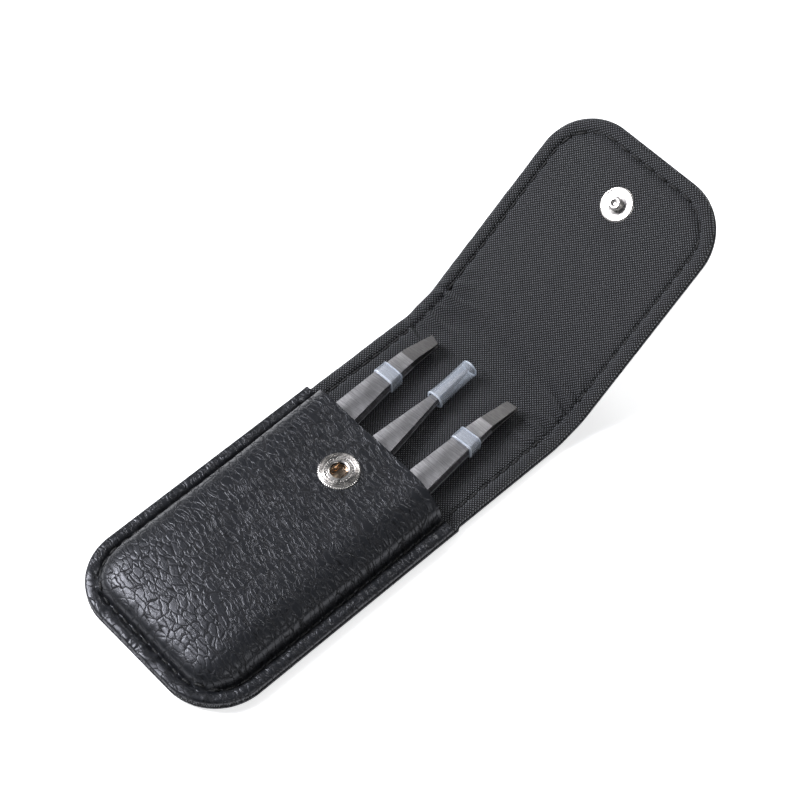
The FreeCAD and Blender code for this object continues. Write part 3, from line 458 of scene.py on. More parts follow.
def silicone_material(name, half_long):
    """Milky clear silicone, more opaque at the tube's two rims, a painted highlight for the bright edges of
    its thick wall.
    """
    m = Maker(name)
    place = m.flat_place()
    along = m.math("ABSOLUTE", m.place_parts(place)[1])
    cloudy = m.noise(place, 0.35, 2.0)
    # The rims are made more opaque, so the milky colour shows brighter there: a painted highlight.
    rim = m.between(along, half_long - 0.45, half_long - 0.1, 0.2, 0.8)
    m.shade(
        Base_Color=m.mix(cloudy, (0.66, 0.74, 0.86, 1), (0.84, 0.89, 0.96, 1)),
        Roughness=m.between(cloudy, 0.3, 0.7, 0.12, 0.26),
        Alpha=m.math("MULTIPLY_ADD", cloudy, 0.12, rim),
        Normal=m.bump(cloudy, 0.00008, 0.08),
        Transmission_Weight=0.3,
        IOR=1.41,
        Specular_IOR_Level=0.7,
    )
    return m.material


def board_material():
    """Grey pressed board, hidden between leather and lining."""
    m = Maker("board")
    place = m.body_place()
    fibres = m.noise(m.stretch(place, (500.0, 1500.0, 900.0)), 1.0, 5.0, 0.7)
    m.shade(
        Base_Color=m.mix(fibres, (0.2, 0.17, 0.13, 1), (0.38, 0.33, 0.26, 1)),
        Roughness=0.85,
        Normal=m.bump(fibres, 0.00008, 0.5),
    )
    return m.material


LEATHER_LOOK = leather_material()
NYLON_LOOK = nylon_material()
THREAD_LOOK = thread_material()
NICKEL_LOOK = nickel_material("nickel", (0.6, 0.575, 0.55, 1), 0.3)
BRASS_LOOK = nickel_material("socket_inside", (0.7, 0.54, 0.4, 1), 0.24)
BAND_HALF = 1.9
CAP_HALF = 6.5
BAND_LOOK = silicone_material("band_silicone", BAND_HALF)
CAP_LOOK = silicone_material("cap_silicone", CAP_HALF)
BOARD_LOOK = board_material()


# --------------------------------------------------
# The pouch's sheet: back, spine and flap as one bent strip
# --------------------------------------------------

BEND_REACH = 2.6
BEND_STEP = 0.05
SHOULDER_START = 0.2
SHOULDER_LONG = 0.8


def bend_table():
    """Lengths along the sheet, and the angle, run and height of its crease line at each."""
    runs = np.arange(-2.0, SHEET_END + 4.0, BEND_STEP)
    angle = FOLD * smooth((runs - CREASE_ONE + BEND_REACH) / (2 * BEND_REACH))
    angle = angle + FOLD * smooth((runs - CREASE_TWO + BEND_REACH) / (2 * BEND_REACH))
    y = np.concatenate([[0.0], np.cumsum(np.cos(angle[:-1]) * BEND_STEP)]) + runs[0]
    z = np.concatenate([[0.0], np.cumsum(np.sin(angle[:-1]) * BEND_STEP)])
    return runs, angle, y, z


BEND = bend_table()


def bent(x, run, high):
    """Where a point of the flat sheet lies: across, along from the bottom end, and up."""
    runs, angles, ys, zs = BEND
    angle = np.interp(run, runs, angles)
    y = BOTTOM_Y + np.interp(run, runs, ys) - (high - AXIS_HIGH) * np.sin(angle)
    z = AXIS_HIGH + np.interp(run, runs, zs) + (high - AXIS_HIGH) * np.cos(angle)
    return np.stack(np.broadcast_arrays(x, y, z), axis=-1)


def corner_fall(into, radius):
    """How far a quarter circle falls away, a distance into it."""
    return radius - np.sqrt(np.maximum(radius**2 - into**2, 0.0))


def half_width(run, wide, narrow):
    """Half the sheet's width: wide at the pocket, narrower above, and round at both ends."""
    half = wide + (narrow - wide) * smooth((run - MOUTH_RUN - SHOULDER_START) / SHOULDER_LONG)
    for from_end in (run, SHEET_END - run):
        half = half - corner_fall(np.clip(CORNER_ROUND - from_end, 0.0, CORNER_ROUND), CORNER_ROUND)
    return half


def edge_distance(x, run, wide, narrow):
    """How far a point of the flat sheet lies inside its outline."""
    side = half_width(np.full_like(run, (CORNER_ROUND + MOUTH_RUN) / 2), wide, narrow)
    side = np.where(run > MOUTH_RUN + 0.6, narrow, side)
    across = side - np.abs(x)
    end = np.minimum(run, SHEET_END - run)
    in_corner = (across < CORNER_ROUND) & (end < CORNER_ROUND)
    corner = CORNER_ROUND - np.hypot(CORNER_ROUND - across, CORNER_ROUND - end)
    return np.where(in_corner, corner, np.minimum(across, end))


def edge_run(x, run):
    """How far around the outline a point lies from where its corner meets the side."""
    end = np.minimum(run, SHEET_END - run)
    across = PANEL_HALF - np.abs(x)
    quarter = math.pi / 2 * CORNER_ROUND
    turn = np.arctan2(CORNER_ROUND - end, CORNER_ROUND - across)
    around = np.where(
        (across < CORNER_ROUND) & (end < CORNER_ROUND),
        -turn * CORNER_ROUND,
        np.where(across < end, end - CORNER_ROUND, -quarter - (across - CORNER_ROUND)),
    )
    return around * np.sign(x + 1e-6)


def clustered(edge_steps, inner_half, inner_step):
    """Distances from an edge: fine steps first, then even ones up to the middle."""
    steps = list(edge_steps)
    count = max(int((inner_half - steps[-1]) / inner_step), 2)
    return np.concatenate([steps, np.linspace(steps[-1], inner_half, count + 1)[1:]])


# A grid's lines are close at an edge and its seam, and again around the creases.
EDGE_STEPS = (0.0, 0.06, 0.16, 0.3, 0.5, 0.8, 1.15, 1.5, 1.9, 2.3, 2.7, 3.0, 3.25, 3.45, 3.6, 3.8,
              3.95, 4.15, 4.4, 4.8, 5.3, 5.9, 6.6)
EDGE_BAND = 12.4
END_BAND = 8.0
CREASE_BAND = 9.0
MIDDLE_BAND = 24.0


def sheet_grid(first, last, wide, narrow, step, round_start, round_end):
    """Flat places of a grid on the sheet between two lengths, dense near its edges."""
    inwards = clustered(EDGE_STEPS, EDGE_BAND, step)
    if round_start:
        rows = clustered(EDGE_STEPS, last - first, step) + first
    else:
        rows = np.linspace(first, last, int((last - first) / step) + 1)
    creased = rows[:-1][(rows[:-1] > CREASE_ONE - CREASE_BAND) & (rows[:-1] < CREASE_TWO + CREASE_BAND)]
    rows = np.sort(np.concatenate([rows, creased + step / 3, creased + 2 * step / 3]))
    if round_end:
        tail = last - clustered(EDGE_STEPS, END_BAND, step)[::-1]
        rows = np.concatenate([rows[rows < tail[0] - step / 2], tail])
    half = half_width(rows, wide, narrow)
    middle_count = int(MIDDLE_BAND / step)
    columns = []
    for row_half in half:
        inner = row_half - inwards[-1]
        left = -row_half + inwards
        middle = np.linspace(-inner, inner, middle_count + 2)[1:-1]
        columns.append(np.concatenate([left, middle, -left[::-1]]))
    xs = np.array(columns)
    runs = np.repeat(rows[:, None], xs.shape[1], axis=1)
    return xs, runs


def edge_fall(inside, radius):
    """How far a rounded edge falls below the sheet's face."""
    return corner_fall(np.clip(radius - inside, 0.0, radius), radius)


# --------------------------------------------------
# Outer leather and lining
# --------------------------------------------------

LEATHER_TOP = 1.35  # its upper face, under the lining
LINING_INSET = 0.35
LINING_LOWEST = -0.7  # below the lining's flat height
LEFT_TIP_SIDE = -16.6
TIP_PAST_CREASE = 5.0
STITCH_PITCH = {"pocket": 3.6, "flap": 4.2}


def puckers(around, pitch, rise):
    """The rise and fall of a sheet along its seam, one wave to a stitch."""
    return rise * np.cos(2 * math.pi * around / STITCH_PITCH[pitch])


def leather_heights(xs, runs):
    """The outer leather's under face and upper face over the flat sheet."""
    inside = edge_distance(xs, runs, POCKET_HALF, PANEL_HALF)
    around = edge_run(xs, runs)
    seam = hump(inside, SEAM_INSET, 0.5)
    pucker = puckers(around, "pocket", 0.12)
    soft = wander_grid(xs, runs, 9.0, 1) * 0.05
    ruffle = wander_grid(around, inside, 1.6, 2) * 0.1 * smooth((SEAM_INSET - inside) / 1.2)
    under = 0.02 + edge_fall(inside, 0.85) + seam * (0.3 + pucker) + np.abs(ruffle) + np.abs(soft)
    for crease in (CREASE_ONE, CREASE_TWO):
        under = under + 0.12 * hump(runs, crease, 0.5) * (1 - smooth((1.0 - inside) / 1.0))
    over = LEATHER_TOP - edge_fall(inside, 0.4)
    return under, np.maximum(over, under + 0.02)


# (side, place along the sheet from the spine's middle, slope, height, width, reach from the edge)
WRINKLES = (
    (-1, -8.6, -0.42, 0.55, 0.75, 10.0),
    (-1, -5.6, -0.24, 0.9, 0.7, 15.0),
    (-1, -2.9, -0.1, 0.75, 0.6, 12.0),
    (-1, -0.3, 0.02, 0.95, 0.7, 17.0),
    (-1, 2.4, 0.12, 0.7, 0.65, 13.0),
    (-1, 5.2, 0.24, 1.0, 0.8, 18.0),
    (-1, 8.4, 0.42, 0.55, 0.9, 13.0),
    (-1, 11.6, 0.6, 0.35, 1.1, 11.0),
    (1, -9.4, -0.5, 0.5, 0.8, 10.0),
    (1, -6.3, -0.3, 0.85, 0.75, 14.0),
    (1, -3.4, -0.14, 0.95, 0.65, 18.0),
    (1, -0.8, 0.0, 0.75, 0.65, 13.0),
    (1, 2.0, 0.14, 1.0, 0.7, 17.0),
    (1, 4.9, 0.28, 0.8, 0.8, 16.0),
    (1, 8.2, 0.46, 0.65, 0.95, 14.0),
    (1, 11.8, 0.66, 0.35, 1.1, 11.0),
)
FOLD_RISE = 1.5
FOLD_DIP = 0.6
DIP_BESIDE = 1.45  # from a fold's line to the dip beside it


def crease_wrinkles(xs, runs):
    """Folds that gather at the ends of the creases and fade towards the sheet's middle."""
    middle = (CREASE_ONE + CREASE_TWO) / 2
    lift = np.zeros_like(xs)
    for side, start, slope, tall, width, reach in WRINKLES:
        inward = PANEL_HALF - side * xs
        fade = (1 - smooth(inward / reach)) * smooth((inward - 0.3) / 4.5)
        line = middle + start + slope * inward + 0.3 * np.sin(inward * 0.6 + start)
        spread = width * (1 + 0.35 * inward / reach)
        rise = FOLD_RISE * hump(runs, line, spread) - FOLD_DIP * hump(runs, line + DIP_BESIDE, spread)
        lift = lift + tall * rise * fade
    soft = hump(runs, CREASE_ONE, 2.6) + hump(runs, CREASE_TWO, 2.6)
    return lift - 0.25 * soft


def lining_heights(xs, runs):
    """The lining's under face and upper face: a puffed border, a sunk seam, a soft panel.

    It is hollowed a little where the left pair's tips come when they slide forward.
    """
    inside = edge_distance(xs, runs, POCKET_HALF, PANEL_HALF)
    around = edge_run(xs, runs)
    open_share = smooth((runs - MOUTH_RUN + 1.0) / 2.5)
    border = 0.62 * np.sin(math.pi * np.clip((inside + 0.25) / 3.9, 0, 1)) ** 0.8
    seam = hump(inside, SEAM_INSET + 0.1, 0.55)
    pucker = puckers(around, "flap", 0.2)
    soft = wander_grid(xs, runs, 11.0, 3) * 0.16 * smooth((inside - 4.5) / 5.0)
    ruffle = wander_grid(around, inside, 2.4, 4) * 0.16 * smooth((3.6 - inside) / 1.5)
    panel = 0.22 * smooth((inside - SEAM_INSET) / 2.4)
    lift = border + ruffle - seam * (0.55 + pucker) + panel + soft
    lift = lift + crease_wrinkles(xs, runs)
    tip_hollow = 0.5 * hump(xs, LEFT_TIP_SIDE, 3.2) * hump(runs, CREASE_ONE + TIP_PAST_CREASE, 4.5)
    over = STACK_TOP + np.maximum(lift - tip_hollow, LINING_LOWEST) * open_share - edge_fall(inside, 1.0)
    under = LEATHER_TOP + 0.02 - edge_fall(inside, 0.3) * 0.3
    return np.minimum(under, over - 0.12), over


def bent_slab(name, heights, material, span, step, inset, round_start, round_end):
    """A piece of the bent sheet, from one length to another."""
    wide, narrow = POCKET_HALF - inset, PANEL_HALF - inset
    xs, runs = sheet_grid(*span, wide, narrow, step, round_start, round_end)
    under, over = heights(xs, runs)
    top, bottom = bent(xs, runs, over), bent(xs, runs, under)
    return slab_object(name, top, bottom, material, np.stack([xs, runs], axis=-1))


def blend_over(piece, first_body, second_body, crease):
    """Bake a piece's placement into its mesh; the crease's two ends are worked out, but the piece is not bent
    across it.
    """
    reach = SPINE_LONG / 2 - 0.1
    start = bent(0.0, crease - reach, AXIS_HIGH) * MM
    end = bent(0.0, crease + reach, AXIS_HIGH) * MM
    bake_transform(piece)


def make_sheets():
    """The leather and the lining, each in two pieces that meet at mid-spine."""
    middle = (CREASE_ONE + CREASE_TWO) / 2
    inset = LINING_INSET
    leather, cloth = (leather_heights, LEATHER_LOOK), (lining_heights, NYLON_LOOK)
    back_span, back_cloth_span = (0.0, middle), (inset, middle)
    flap_span, flap_cloth_span = (middle, SHEET_END), (middle, SHEET_END - inset)
    back = bent_slab("back_leather", *leather, back_span, 0.9, 0.0, True, False)
    flap = bent_slab("flap_leather", *leather, flap_span, 0.9, 0.0, False, True)
    back_cloth = bent_slab("back_nylon", *cloth, back_cloth_span, 0.8, inset, True, False)
    flap_cloth = bent_slab("flap_nylon", *cloth, flap_cloth_span, 0.8, inset, False, True)
    take_place(back, "leather", None, "back_cover", "spine_cover")
    take_place(flap, "leather", None, "flap_cover")
    take_place(back_cloth, "nylon", None, "back_lining", "spine_lining")
    take_place(flap_cloth, "nylon", None, "flap_lining")
    for sheet, half, (first, last), crease in (
        (back, POCKET_HALF, back_span, ("case", "spine", CREASE_ONE)),
        (flap, PANEL_HALF, flap_span, ("spine", "flap", CREASE_TWO)),
        (back_cloth, PANEL_HALF - inset, back_cloth_span, ("case", "spine", CREASE_ONE)),
        (flap_cloth, PANEL_HALF - inset, flap_cloth_span, ("spine", "flap", CREASE_TWO)),
    ):
        blend_over(sheet, *crease)


# --------------------------------------------------
# Pocket front
# --------------------------------------------------

FLANGE_TOP = STACK_TOP + LEATHER
BULGE_FOOT = 4.0
BULGE_TOP = FRONT_TOP - FLANGE_TOP
BULGE_FULL = 40.0
MOUTH_BEND = 55.0
LINING_DRAWN = 60.0


# How far in from its foot each side of the bulge slopes: low down, and at the mouth.
SLOPE_LEFT = (9.5, 6.0)
SLOPE_RIGHT = (9.0, 8.0)
SIDE_ROUND = 2.2
END_ROUND = 2.6
END_SLOPE = 28.0
CROWN_RISE = 0.55
CROWN_HALF = 22.0
# (side low down, side at the mouth, height, width) of the ridge over each outer pair
RIDGES = ((-12.0, -16.5, 0.45, 3.2), (11.5, 16.0, 0.4, 3.4))
RIDGE_START = 22.0
# (side, depth) of the dip between each outer pair and the middle one
DIPS = ((-6.3, 0.35), (6.5, 0.3))
DIP_WIDE = 3.0
DIP_START = 40.0
FADE_IN = 40.0


def swell(share, roundness):
    """A rounded rise from 0 to 1; a higher roundness is squarer."""
    return (1 - (1 - np.clip(share, 0.0, 1.0)) ** roundness) ** (1 / roundness)


def bulge_height(xs, runs):
    """How high the pocket's front stands above its flange: a soft crown over the tweezers."""
    side = half_width(np.maximum(runs, 0.0), POCKET_HALF, POCKET_HALF)
    corner_side = np.where(runs < CORNER_ROUND, side, POCKET_HALF)
    across = corner_side - np.abs(xs) - BULGE_FOOT
    toward_mouth = smooth((runs - BULGE_FULL) / (MOUTH_RUN - BULGE_FULL))
    run_left, run_right = (low + (mouth - low) * toward_mouth for low, mouth in (SLOPE_LEFT, SLOPE_RIGHT))
    share = np.clip(across / np.where(xs < 0, run_left, run_right), 0.0, 1.0)
    side_rise = swell(share, SIDE_ROUND) * smooth(share * 5 + 0.15)
    end_rise = swell((runs - BULGE_FOOT) / END_SLOPE, END_ROUND)
    crown = CROWN_RISE * (1 - np.clip(np.abs(xs) / CROWN_HALF, 0, 1) ** 2) * (1 - toward_mouth * 0.5)
    height = (BULGE_TOP + crown) * side_rise * end_rise
    for low, mouth, tall, width in RIDGES:
        ridge = tall * hump(xs, low + (mouth - low) * toward_mouth, width)
        height = height + ridge * smooth((runs - RIDGE_START) / FADE_IN)
    for place, deep in DIPS:
        height = height - deep * hump(xs, place, DIP_WIDE) * smooth((runs - DIP_START) / FADE_IN)
    return height


def front_heights(xs, runs):
    """The pocket front's upper face."""
    inside = edge_distance(xs, runs, POCKET_HALF, POCKET_HALF)
    around = edge_run(xs, runs)
    seam = hump(inside, SEAM_INSET, 0.6)
    pucker = puckers(around, "pocket", 0.2)
    border = 0.3 * np.sin(math.pi * np.clip(inside / 3.5, 0, 1))
    in_border = smooth((SEAM_INSET - inside) / 0.8) * smooth(inside / 0.6)
    ruffle = (
        wander_grid(around, inside * 0.35, 0.85, 5) * 0.3
        + wander_grid(around, inside, 2.6, 6) * 0.25
    )
    gather = smooth((inside - SEAM_INSET) / 0.8) * (1 - smooth((inside - 5.0) / 5.0))
    tucks = wander_grid(around, inside * 0.15, 1.5, 7) * 0.2 * gather
    soft = wander_grid(xs, runs, 14.0, 8) * 0.16 * smooth((inside - 6.0) / 6.0)
    rise = bulge_height(xs, runs)
    height = FLANGE_TOP + border + rise + tucks + soft
    height = height + ruffle * in_border * 0.75 - seam * (0.62 + pucker)
    return height - edge_fall(inside, 0.7)


def surface_points(xs, runs, heights):
    """Points over the flat back, from places on the sheet and heights."""
    return np.stack([xs, BOTTOM_Y + runs, heights], axis=-1)


def mouth_curve(xs):
    """The mouth's line: straight over the tweezers, drawn back a little at the right."""
    return -1.3 * smooth((xs - 8.0) / 18.0) + 0.5 * smooth((-xs - 16.0) / 9.0)


def front_grid(step):
    """Flat places of the pocket front, with its last rows bent to the mouth's line."""
    xs, runs = sheet_grid(0.0, MOUTH_RUN, POCKET_HALF, POCKET_HALF, step, True, False)
    return xs, runs + mouth_curve(xs) * smooth((runs - MOUTH_BEND) / (MOUTH_RUN - MOUTH_BEND))


def normals_of(points):
    """Unit normals of a grid of points."""
    along = np.gradient(points, axis=0)
    across = np.gradient(points, axis=1)
    normal = np.cross(across, along)
    return normal / np.maximum(np.linalg.norm(normal, axis=-1, keepdims=True), 1e-9)


def make_front():
    """The pocket's leather front, with its hem and the snap's hole."""
    xs, runs = front_grid(0.62)
    hem = 0.1 * hump(runs - mouth_curve(xs), MOUTH_RUN, 1.6)
    top = surface_points(xs, runs, front_heights(xs, runs) + hem)
    bottom = top - normals_of(top) * FRONT_THICK
    bottom[..., 2] = np.maximum(bottom[..., 2], STACK_TOP + 0.05)
    bottom[..., 2] = np.minimum(bottom[..., 2], top[..., 2] - 0.05)
    flat_places = np.stack([xs, runs + POCKET_UV_START], axis=-1)
    front = slab_object("pocket_leather", top, bottom, LEATHER_LOOK, flat_places)
    cut_socket_hole(front)
    take_place(front, "leather", "case", "pocket_front")


def make_front_lining():
    """The cloth inside the pocket's front, which ends short of the seam and the mouth."""
    xs, runs = front_grid(0.62)
    keep = (np.abs(xs) < POCKET_HALF - BULGE_FOOT - 1.0).all(axis=0)
    rows = (runs > BULGE_FOOT + 1.5).all(axis=1)
    xs, runs = xs[rows][:, keep], runs[rows][:, keep]
    outer = surface_points(xs, runs, front_heights(xs, runs))
    normal = normals_of(outer)
    outer[..., 1] -= 0.9 * smooth((runs - LINING_DRAWN) / (MOUTH_RUN - LINING_DRAWN))
    skin_top = outer - normal * (FRONT_THICK + 0.04)
    skin_low = outer - normal * (FRONT_THICK + 0.3)
    for skin in (skin_top, skin_low):
        skin[..., 2] = np.maximum(skin[..., 2], STACK_TOP + 0.1)
    skin_low[..., 2] = np.minimum(skin_low[..., 2], skin_top[..., 2] - 0.03)
    cloth = slab_object("pocket_nylon", skin_top, skin_low, NYLON_LOOK, np.stack([xs, runs], axis=-1))
    cut_socket_hole(cloth)
    take_place(cloth, "nylon", "case", "pocket_lining")


SOCKET_LOW, SOCKET_HIGH = node_box("snap_socket")
SOCKET_MIDDLE = (SOCKET_LOW + SOCKET_HIGH) / 2
SOCKET_HOLE = 2.42
WIRE_RADIUS = 0.19
RIM_TEETH = 56
STUD_RUN = CREASE_TWO + (FIRST_CREASE[1] - SOCKET_MIDDLE[1])


def cut_socket_hole(piece):
    """Cut the snap's round hole through a sheet of the pocket."""
    bpy.ops.mesh.primitive_cylinder_add(
        vertices=48, radius=SOCKET_HOLE * MM, depth=8 * MM, location=tuple(SOCKET_MIDDLE * MM)
    )
    cutter = bpy.context.object
    cut = piece.modifiers.new("hole", "BOOLEAN")
    cut.operation = "DIFFERENCE"
    cut.object = cutter
    cut.solver = "EXACT"
    apply_modifiers(piece)
    bpy.data.objects.remove(cutter)
    piece.data.polygons.foreach_set("use_smooth", [True] * len(piece.data.polygons))


# --------------------------------------------------
# Stitches
# --------------------------------------------------

THREAD_RADIUS = 0.34
THREAD_SIDES = 8
THREAD_STEPS = 9
STITCH_SINK = 0.32
STITCH_GAP = 0.75
SEAM_STOP = 0.7  # from the pocket's mouth to the seams that end there


def seam_point(run, start, far, half, radius):
    """A point and heading on a U-shaped seam, after a run from its left end."""
    toward = 1 if far > start else -1
    straight = abs(far - start) - radius
    quarter = math.pi / 2 * radius
    total = 2 * straight + 2 * quarter + 2 * (half - radius)
    side = -1 if run <= total / 2 else 1
    run = min(run, total - run)
    if run < straight:
        return np.array([side * half, start + toward * run]), np.array([0.0, 1.0])
    if run < straight + quarter:
        turn = (run - straight) / radius
        x = half - radius * (1 - math.cos(turn))
        y = far - toward * radius * (1 - math.sin(turn))
        return np.array([side * x, y]), np.array([-side * math.sin(turn), toward * math.cos(turn)])
    return np.array([side * (half - radius - (run - straight - quarter)), far]), np.array([1.0, 0.0])


def seam_length(start, far, half, radius):
    """The length of a U-shaped seam."""
    return 2 * (abs(far - start) - radius) + math.pi * radius + 2 * (half - radius)


def stitch(place, heading, length, surface, sign, slant):
    """One stitch on a surface: an arched thread whose ends go down into the sheet."""
    side = np.array([-heading[1], heading[0]])
    verts = []
    uvs = []
    for i in range(THREAD_STEPS):
        share = i / (THREAD_STEPS - 1) * 2 - 1
        flat = place + heading * share * length / 2 + side * share * slant
        rise = (1 - abs(share) ** 3) * (THREAD_RADIUS * 0.55 + STITCH_SINK) - STITCH_SINK
        thick = THREAD_RADIUS * max((1 - abs(share) ** 5) ** 0.5, 0.12)
        for k in range(THREAD_SIDES):
            turn = 2 * math.pi * k / THREAD_SIDES
            off = side * math.cos(turn) * thick
            high = surface + sign * (rise + math.sin(turn) * thick * 0.85)
            verts.append((flat[0] + off[0], flat[1] + off[1], high))
            uvs.append((share * length / 2, turn * thick))
    faces = tube_faces(THREAD_STEPS, THREAD_SIDES) + end_faces(THREAD_STEPS, THREAD_SIDES)
    if sign < 0:
        faces = [f[::-1] for f in faces]
    return np.array(verts), faces, uvs


def stitches_object(name, rows, to_world):
    """Many stitches in one mesh."""
    verts, faces, uvs = [], [], []
    for row in rows:
        points, sides, flat = stitch(*row)
        start = sum(len(v) for v in verts)
        verts.append(to_world(points))
        faces += [tuple(start + i for i in f) for f in sides]
        uvs += flat
    return make_object(name, np.vstack(verts), faces, THREAD_LOOK, uvs)


def height_at(heights, place, which):
    """A height rule's value at one place; which picks its under or upper face."""
    xs, runs = np.array([[place[0]]]), np.array([[place[1]]])
    result = heights(xs, runs)
    return float(result[which][0, 0]) if which is not None else float(result[0, 0])


def seam_rows(path, pitch, faces):
    """Stitches along a U-shaped seam; faces give (height rule, index, sign) of each side."""
    total = seam_length(*path)
    count = int(round(total / pitch))
    step = total / count
    rows = []
    for heights, which, sign in faces:
        for i in range(count):
            place, heading = seam_point((i + 0.5) * step, *path)
            surface = height_at(heights, place, which)
            slant = 0.1 * math.sin(i * 2.4)
            rows.append((place, heading, step - STITCH_GAP, surface, sign, slant))
    return rows


def straight_rows(start, end, half, pitch, faces):
    """Stitches along a straight seam on each side."""
    count = int(round((end - start) / pitch))
    step = (end - start) / count
    heading = np.array([0.0, 1.0])
    rows = []
    for heights, which, sign in faces:
        for side in (-1, 1):
            for i in range(count):
                place = np.array([side * half, start + (i + 0.5) * step])
                surface = height_at(heights, place, which)
                rows.append((place, heading, step - STITCH_GAP - 0.05, surface, sign, 0.08 * side))
    return rows


def flat_to_world(points):
    """Points over the flat sheet, bent with it."""
    return bent(points[:, 0], points[:, 1], points[:, 2])


def pocket_to_world(points):
    """Points over the flat back."""
    return points + np.array([0.0, BOTTOM_Y, 0.0])


def make_stitches():
    """The pocket's, the back's and the flap's seams, each sewn through to the outside."""
    tight = CORNER_ROUND - SEAM_INSET
    under = (leather_heights, 0, -1)
    front = (front_heights, None, 1)
    inner = (lining_heights, 1, 1)
    pocket_path = (MOUTH_RUN - SEAM_STOP, SEAM_INSET, POCKET_HALF - SEAM_INSET, tight)
    flap_path = (CREASE_TWO + 2.6, SHEET_END - SEAM_INSET, PANEL_HALF - SEAM_INSET, tight)
    back_span = (MOUTH_RUN + SEAM_STOP, CREASE_ONE - 2 * SEAM_STOP)
    back_half = PANEL_HALF - SEAM_INSET - 0.1
    pocket = seam_rows(pocket_path, STITCH_PITCH["pocket"], (under, front))
    back = straight_rows(*back_span, back_half, STITCH_PITCH["pocket"], (under, inner))
    flap = seam_rows(flap_path, STITCH_PITCH["flap"], (under, inner))
    for name, rows, to_world, body in (
        ("pocket", pocket, pocket_to_world, "case"),
        ("back", back, flat_to_world, "case"),
        ("flap", flap, flat_to_world, "flap"),
    ):
        take_place(stitches_object(f"{name}_stitches", rows, to_world), "thread", body, f"{name}_thread")


# --------------------------------------------------
# Snap fastener
# --------------------------------------------------


def turned_parts(profile, segments, wave=None):
    """Points and faces turned from (radius, height) points; wave changes them by their angle."""
    verts = []
    for k in range(segments):
        turn = 2 * math.pi * k / segments
        for radius, high in profile:
            if wave is not None:
                radius, high = wave(radius, high, turn)
            verts.append((radius * math.cos(turn), radius * math.sin(turn), high))
    count = len(profile)
    faces = []
    for k in range(segments):
        a, b = k * count, ((k + 1) % segments) * count
        for i in range(count):
            j = (i + 1) % count
            if profile[i][0] == 0 and profile[j][0] == 0:
                continue
            faces.append((a + i, b + i, b + j, a + j))
    return verts, faces


def turned_object(name, profile, material, segments=72, wave=None):
    """A round object turned from a closed profile."""
    thing = make_object(name, *turned_parts(profile, segments, wave), material)
    tidy_mesh(thing)
    return thing


def tidy_mesh(thing):
    """Merge the doubled points of a mesh, such as those on its axis."""
    mesh = bmesh.new()
    mesh.from_mesh(thing.data)
    bmesh.ops.remove_doubles(mesh, verts=mesh.verts, dist=1e-7)
    bmesh.ops.recalc_face_normals(mesh, faces=mesh.faces)
    mesh.to_mesh(thing.data)
    mesh.free()


def rounded_profile(points, radius=0.08, steps=3):
    """Round the corners of a closed profile a little."""
    out = []
    count = len(points)
    for i, point in enumerate(points):
        here = np.array(point, float)
        before = np.array(points[i - 1], float) - here
        after = np.array(points[(i + 1) % count], float) - here
        reach = min(radius, np.linalg.norm(before) * 0.45, np.linalg.norm(after) * 0.45)
        if here[0] == 0 or reach < 1e-4:
            out.append(tuple(here))
            continue
        a = here + before / np.linalg.norm(before) * reach
        b = here + after / np.linalg.norm(after) * reach
        for k in range(steps + 1):
            share = k / steps
            out.append(tuple((1 - share) ** 2 * a + 2 * share * (1 - share) * here + share**2 * b))
    return out


def join(name, things):
    """Join objects into one."""
    for thing in bpy.context.selected_objects:
        thing.select_set(False)
    for thing in things:
        thing.select_set(True)
    bpy.context.view_layer.objects.active = things[0]
    bpy.ops.object.join()
    joined = bpy.context.view_layer.objects.active
    joined.name = name
    joined.data.name = name
    return joined


def ring_of(name, count, radius, high, ball, material):
    """Small balls in a ring."""
    lats = np.linspace(0, math.pi, 7)[1:-1]
    arc = [(ball * math.sin(lat), -ball * math.cos(lat)) for lat in lats]
    points, sides = turned_parts([(0.0, -ball)] + arc + [(0.0, ball)], 10)
    verts, faces = [], []
    for k in range(count):
        turn = 2 * math.pi * (k + 0.5) / count
        centre = np.array((radius * math.cos(turn), radius * math.sin(turn), high))
        faces += [tuple(len(verts) + i for i in side) for side in sides]
        verts += [centre + point for point in points]
    ring = make_object(name, verts, faces, material)
    tidy_mesh(ring)
    return ring


def stand_over_hole(thing, high):
    """Put a piece on the socket's axis, at a height."""
    thing.matrix_world = Matrix.Translation(Vector((SOCKET_MIDDLE[0], SOCKET_MIDDLE[1], high)) * MM)


def stand_on_flap(thing, high):
    """Put a piece on the stud's axis, at a height through the flap, turned with the flap."""
    centre = bent(SOCKET_MIDDLE[0], STUD_RUN, high) * MM
    thing.matrix_world = Matrix.Translation(Vector(centre)) @ Matrix.Rotation(2 * FOLD, 4, "X")
    bpy.context.view_layer.update()


def make_socket():
    """The pocket's snap socket: a milled rim, plain ribs, and beads around its hole."""
    profile = rounded_profile(
        [(2.45, 0.0), (5.2, 0.0), (5.28, 0.16), (5.2, 0.42), (4.9, 0.6), (4.76, 0.66), (4.62, 0.46),
         (4.5, 0.7), (4.3, 0.72), (4.17, 0.5), (4.04, 0.76), (3.84, 0.78), (3.66, 0.72), (3.14, 0.72),
         (3.0, 0.94), (2.6, 0.94), (2.25, 0.78), (2.2, 0.67), (3.92, 0.67), (3.92, 0.2), (2.45, 0.18)],
        0.05,
    )

    def milled(radius, high, turn):
        """The rim's fine teeth."""
        if radius > 4.9 and high > 0.1:
            radius += 0.07 * math.cos(RIM_TEETH * turn)
        return radius, high

    shell = turned_object("snap_socket_shell", profile, NICKEL_LOOK, 6 * RIM_TEETH, milled)
    beads = ring_of("beads", 26, 3.4, 0.75, 0.19, NICKEL_LOOK)
    socket = join("snap_socket_shell", [shell, beads])
    stand_over_hole(socket, SOCKET_LOW[2])
    take_place(socket, "nickel", "case", "snap_socket")


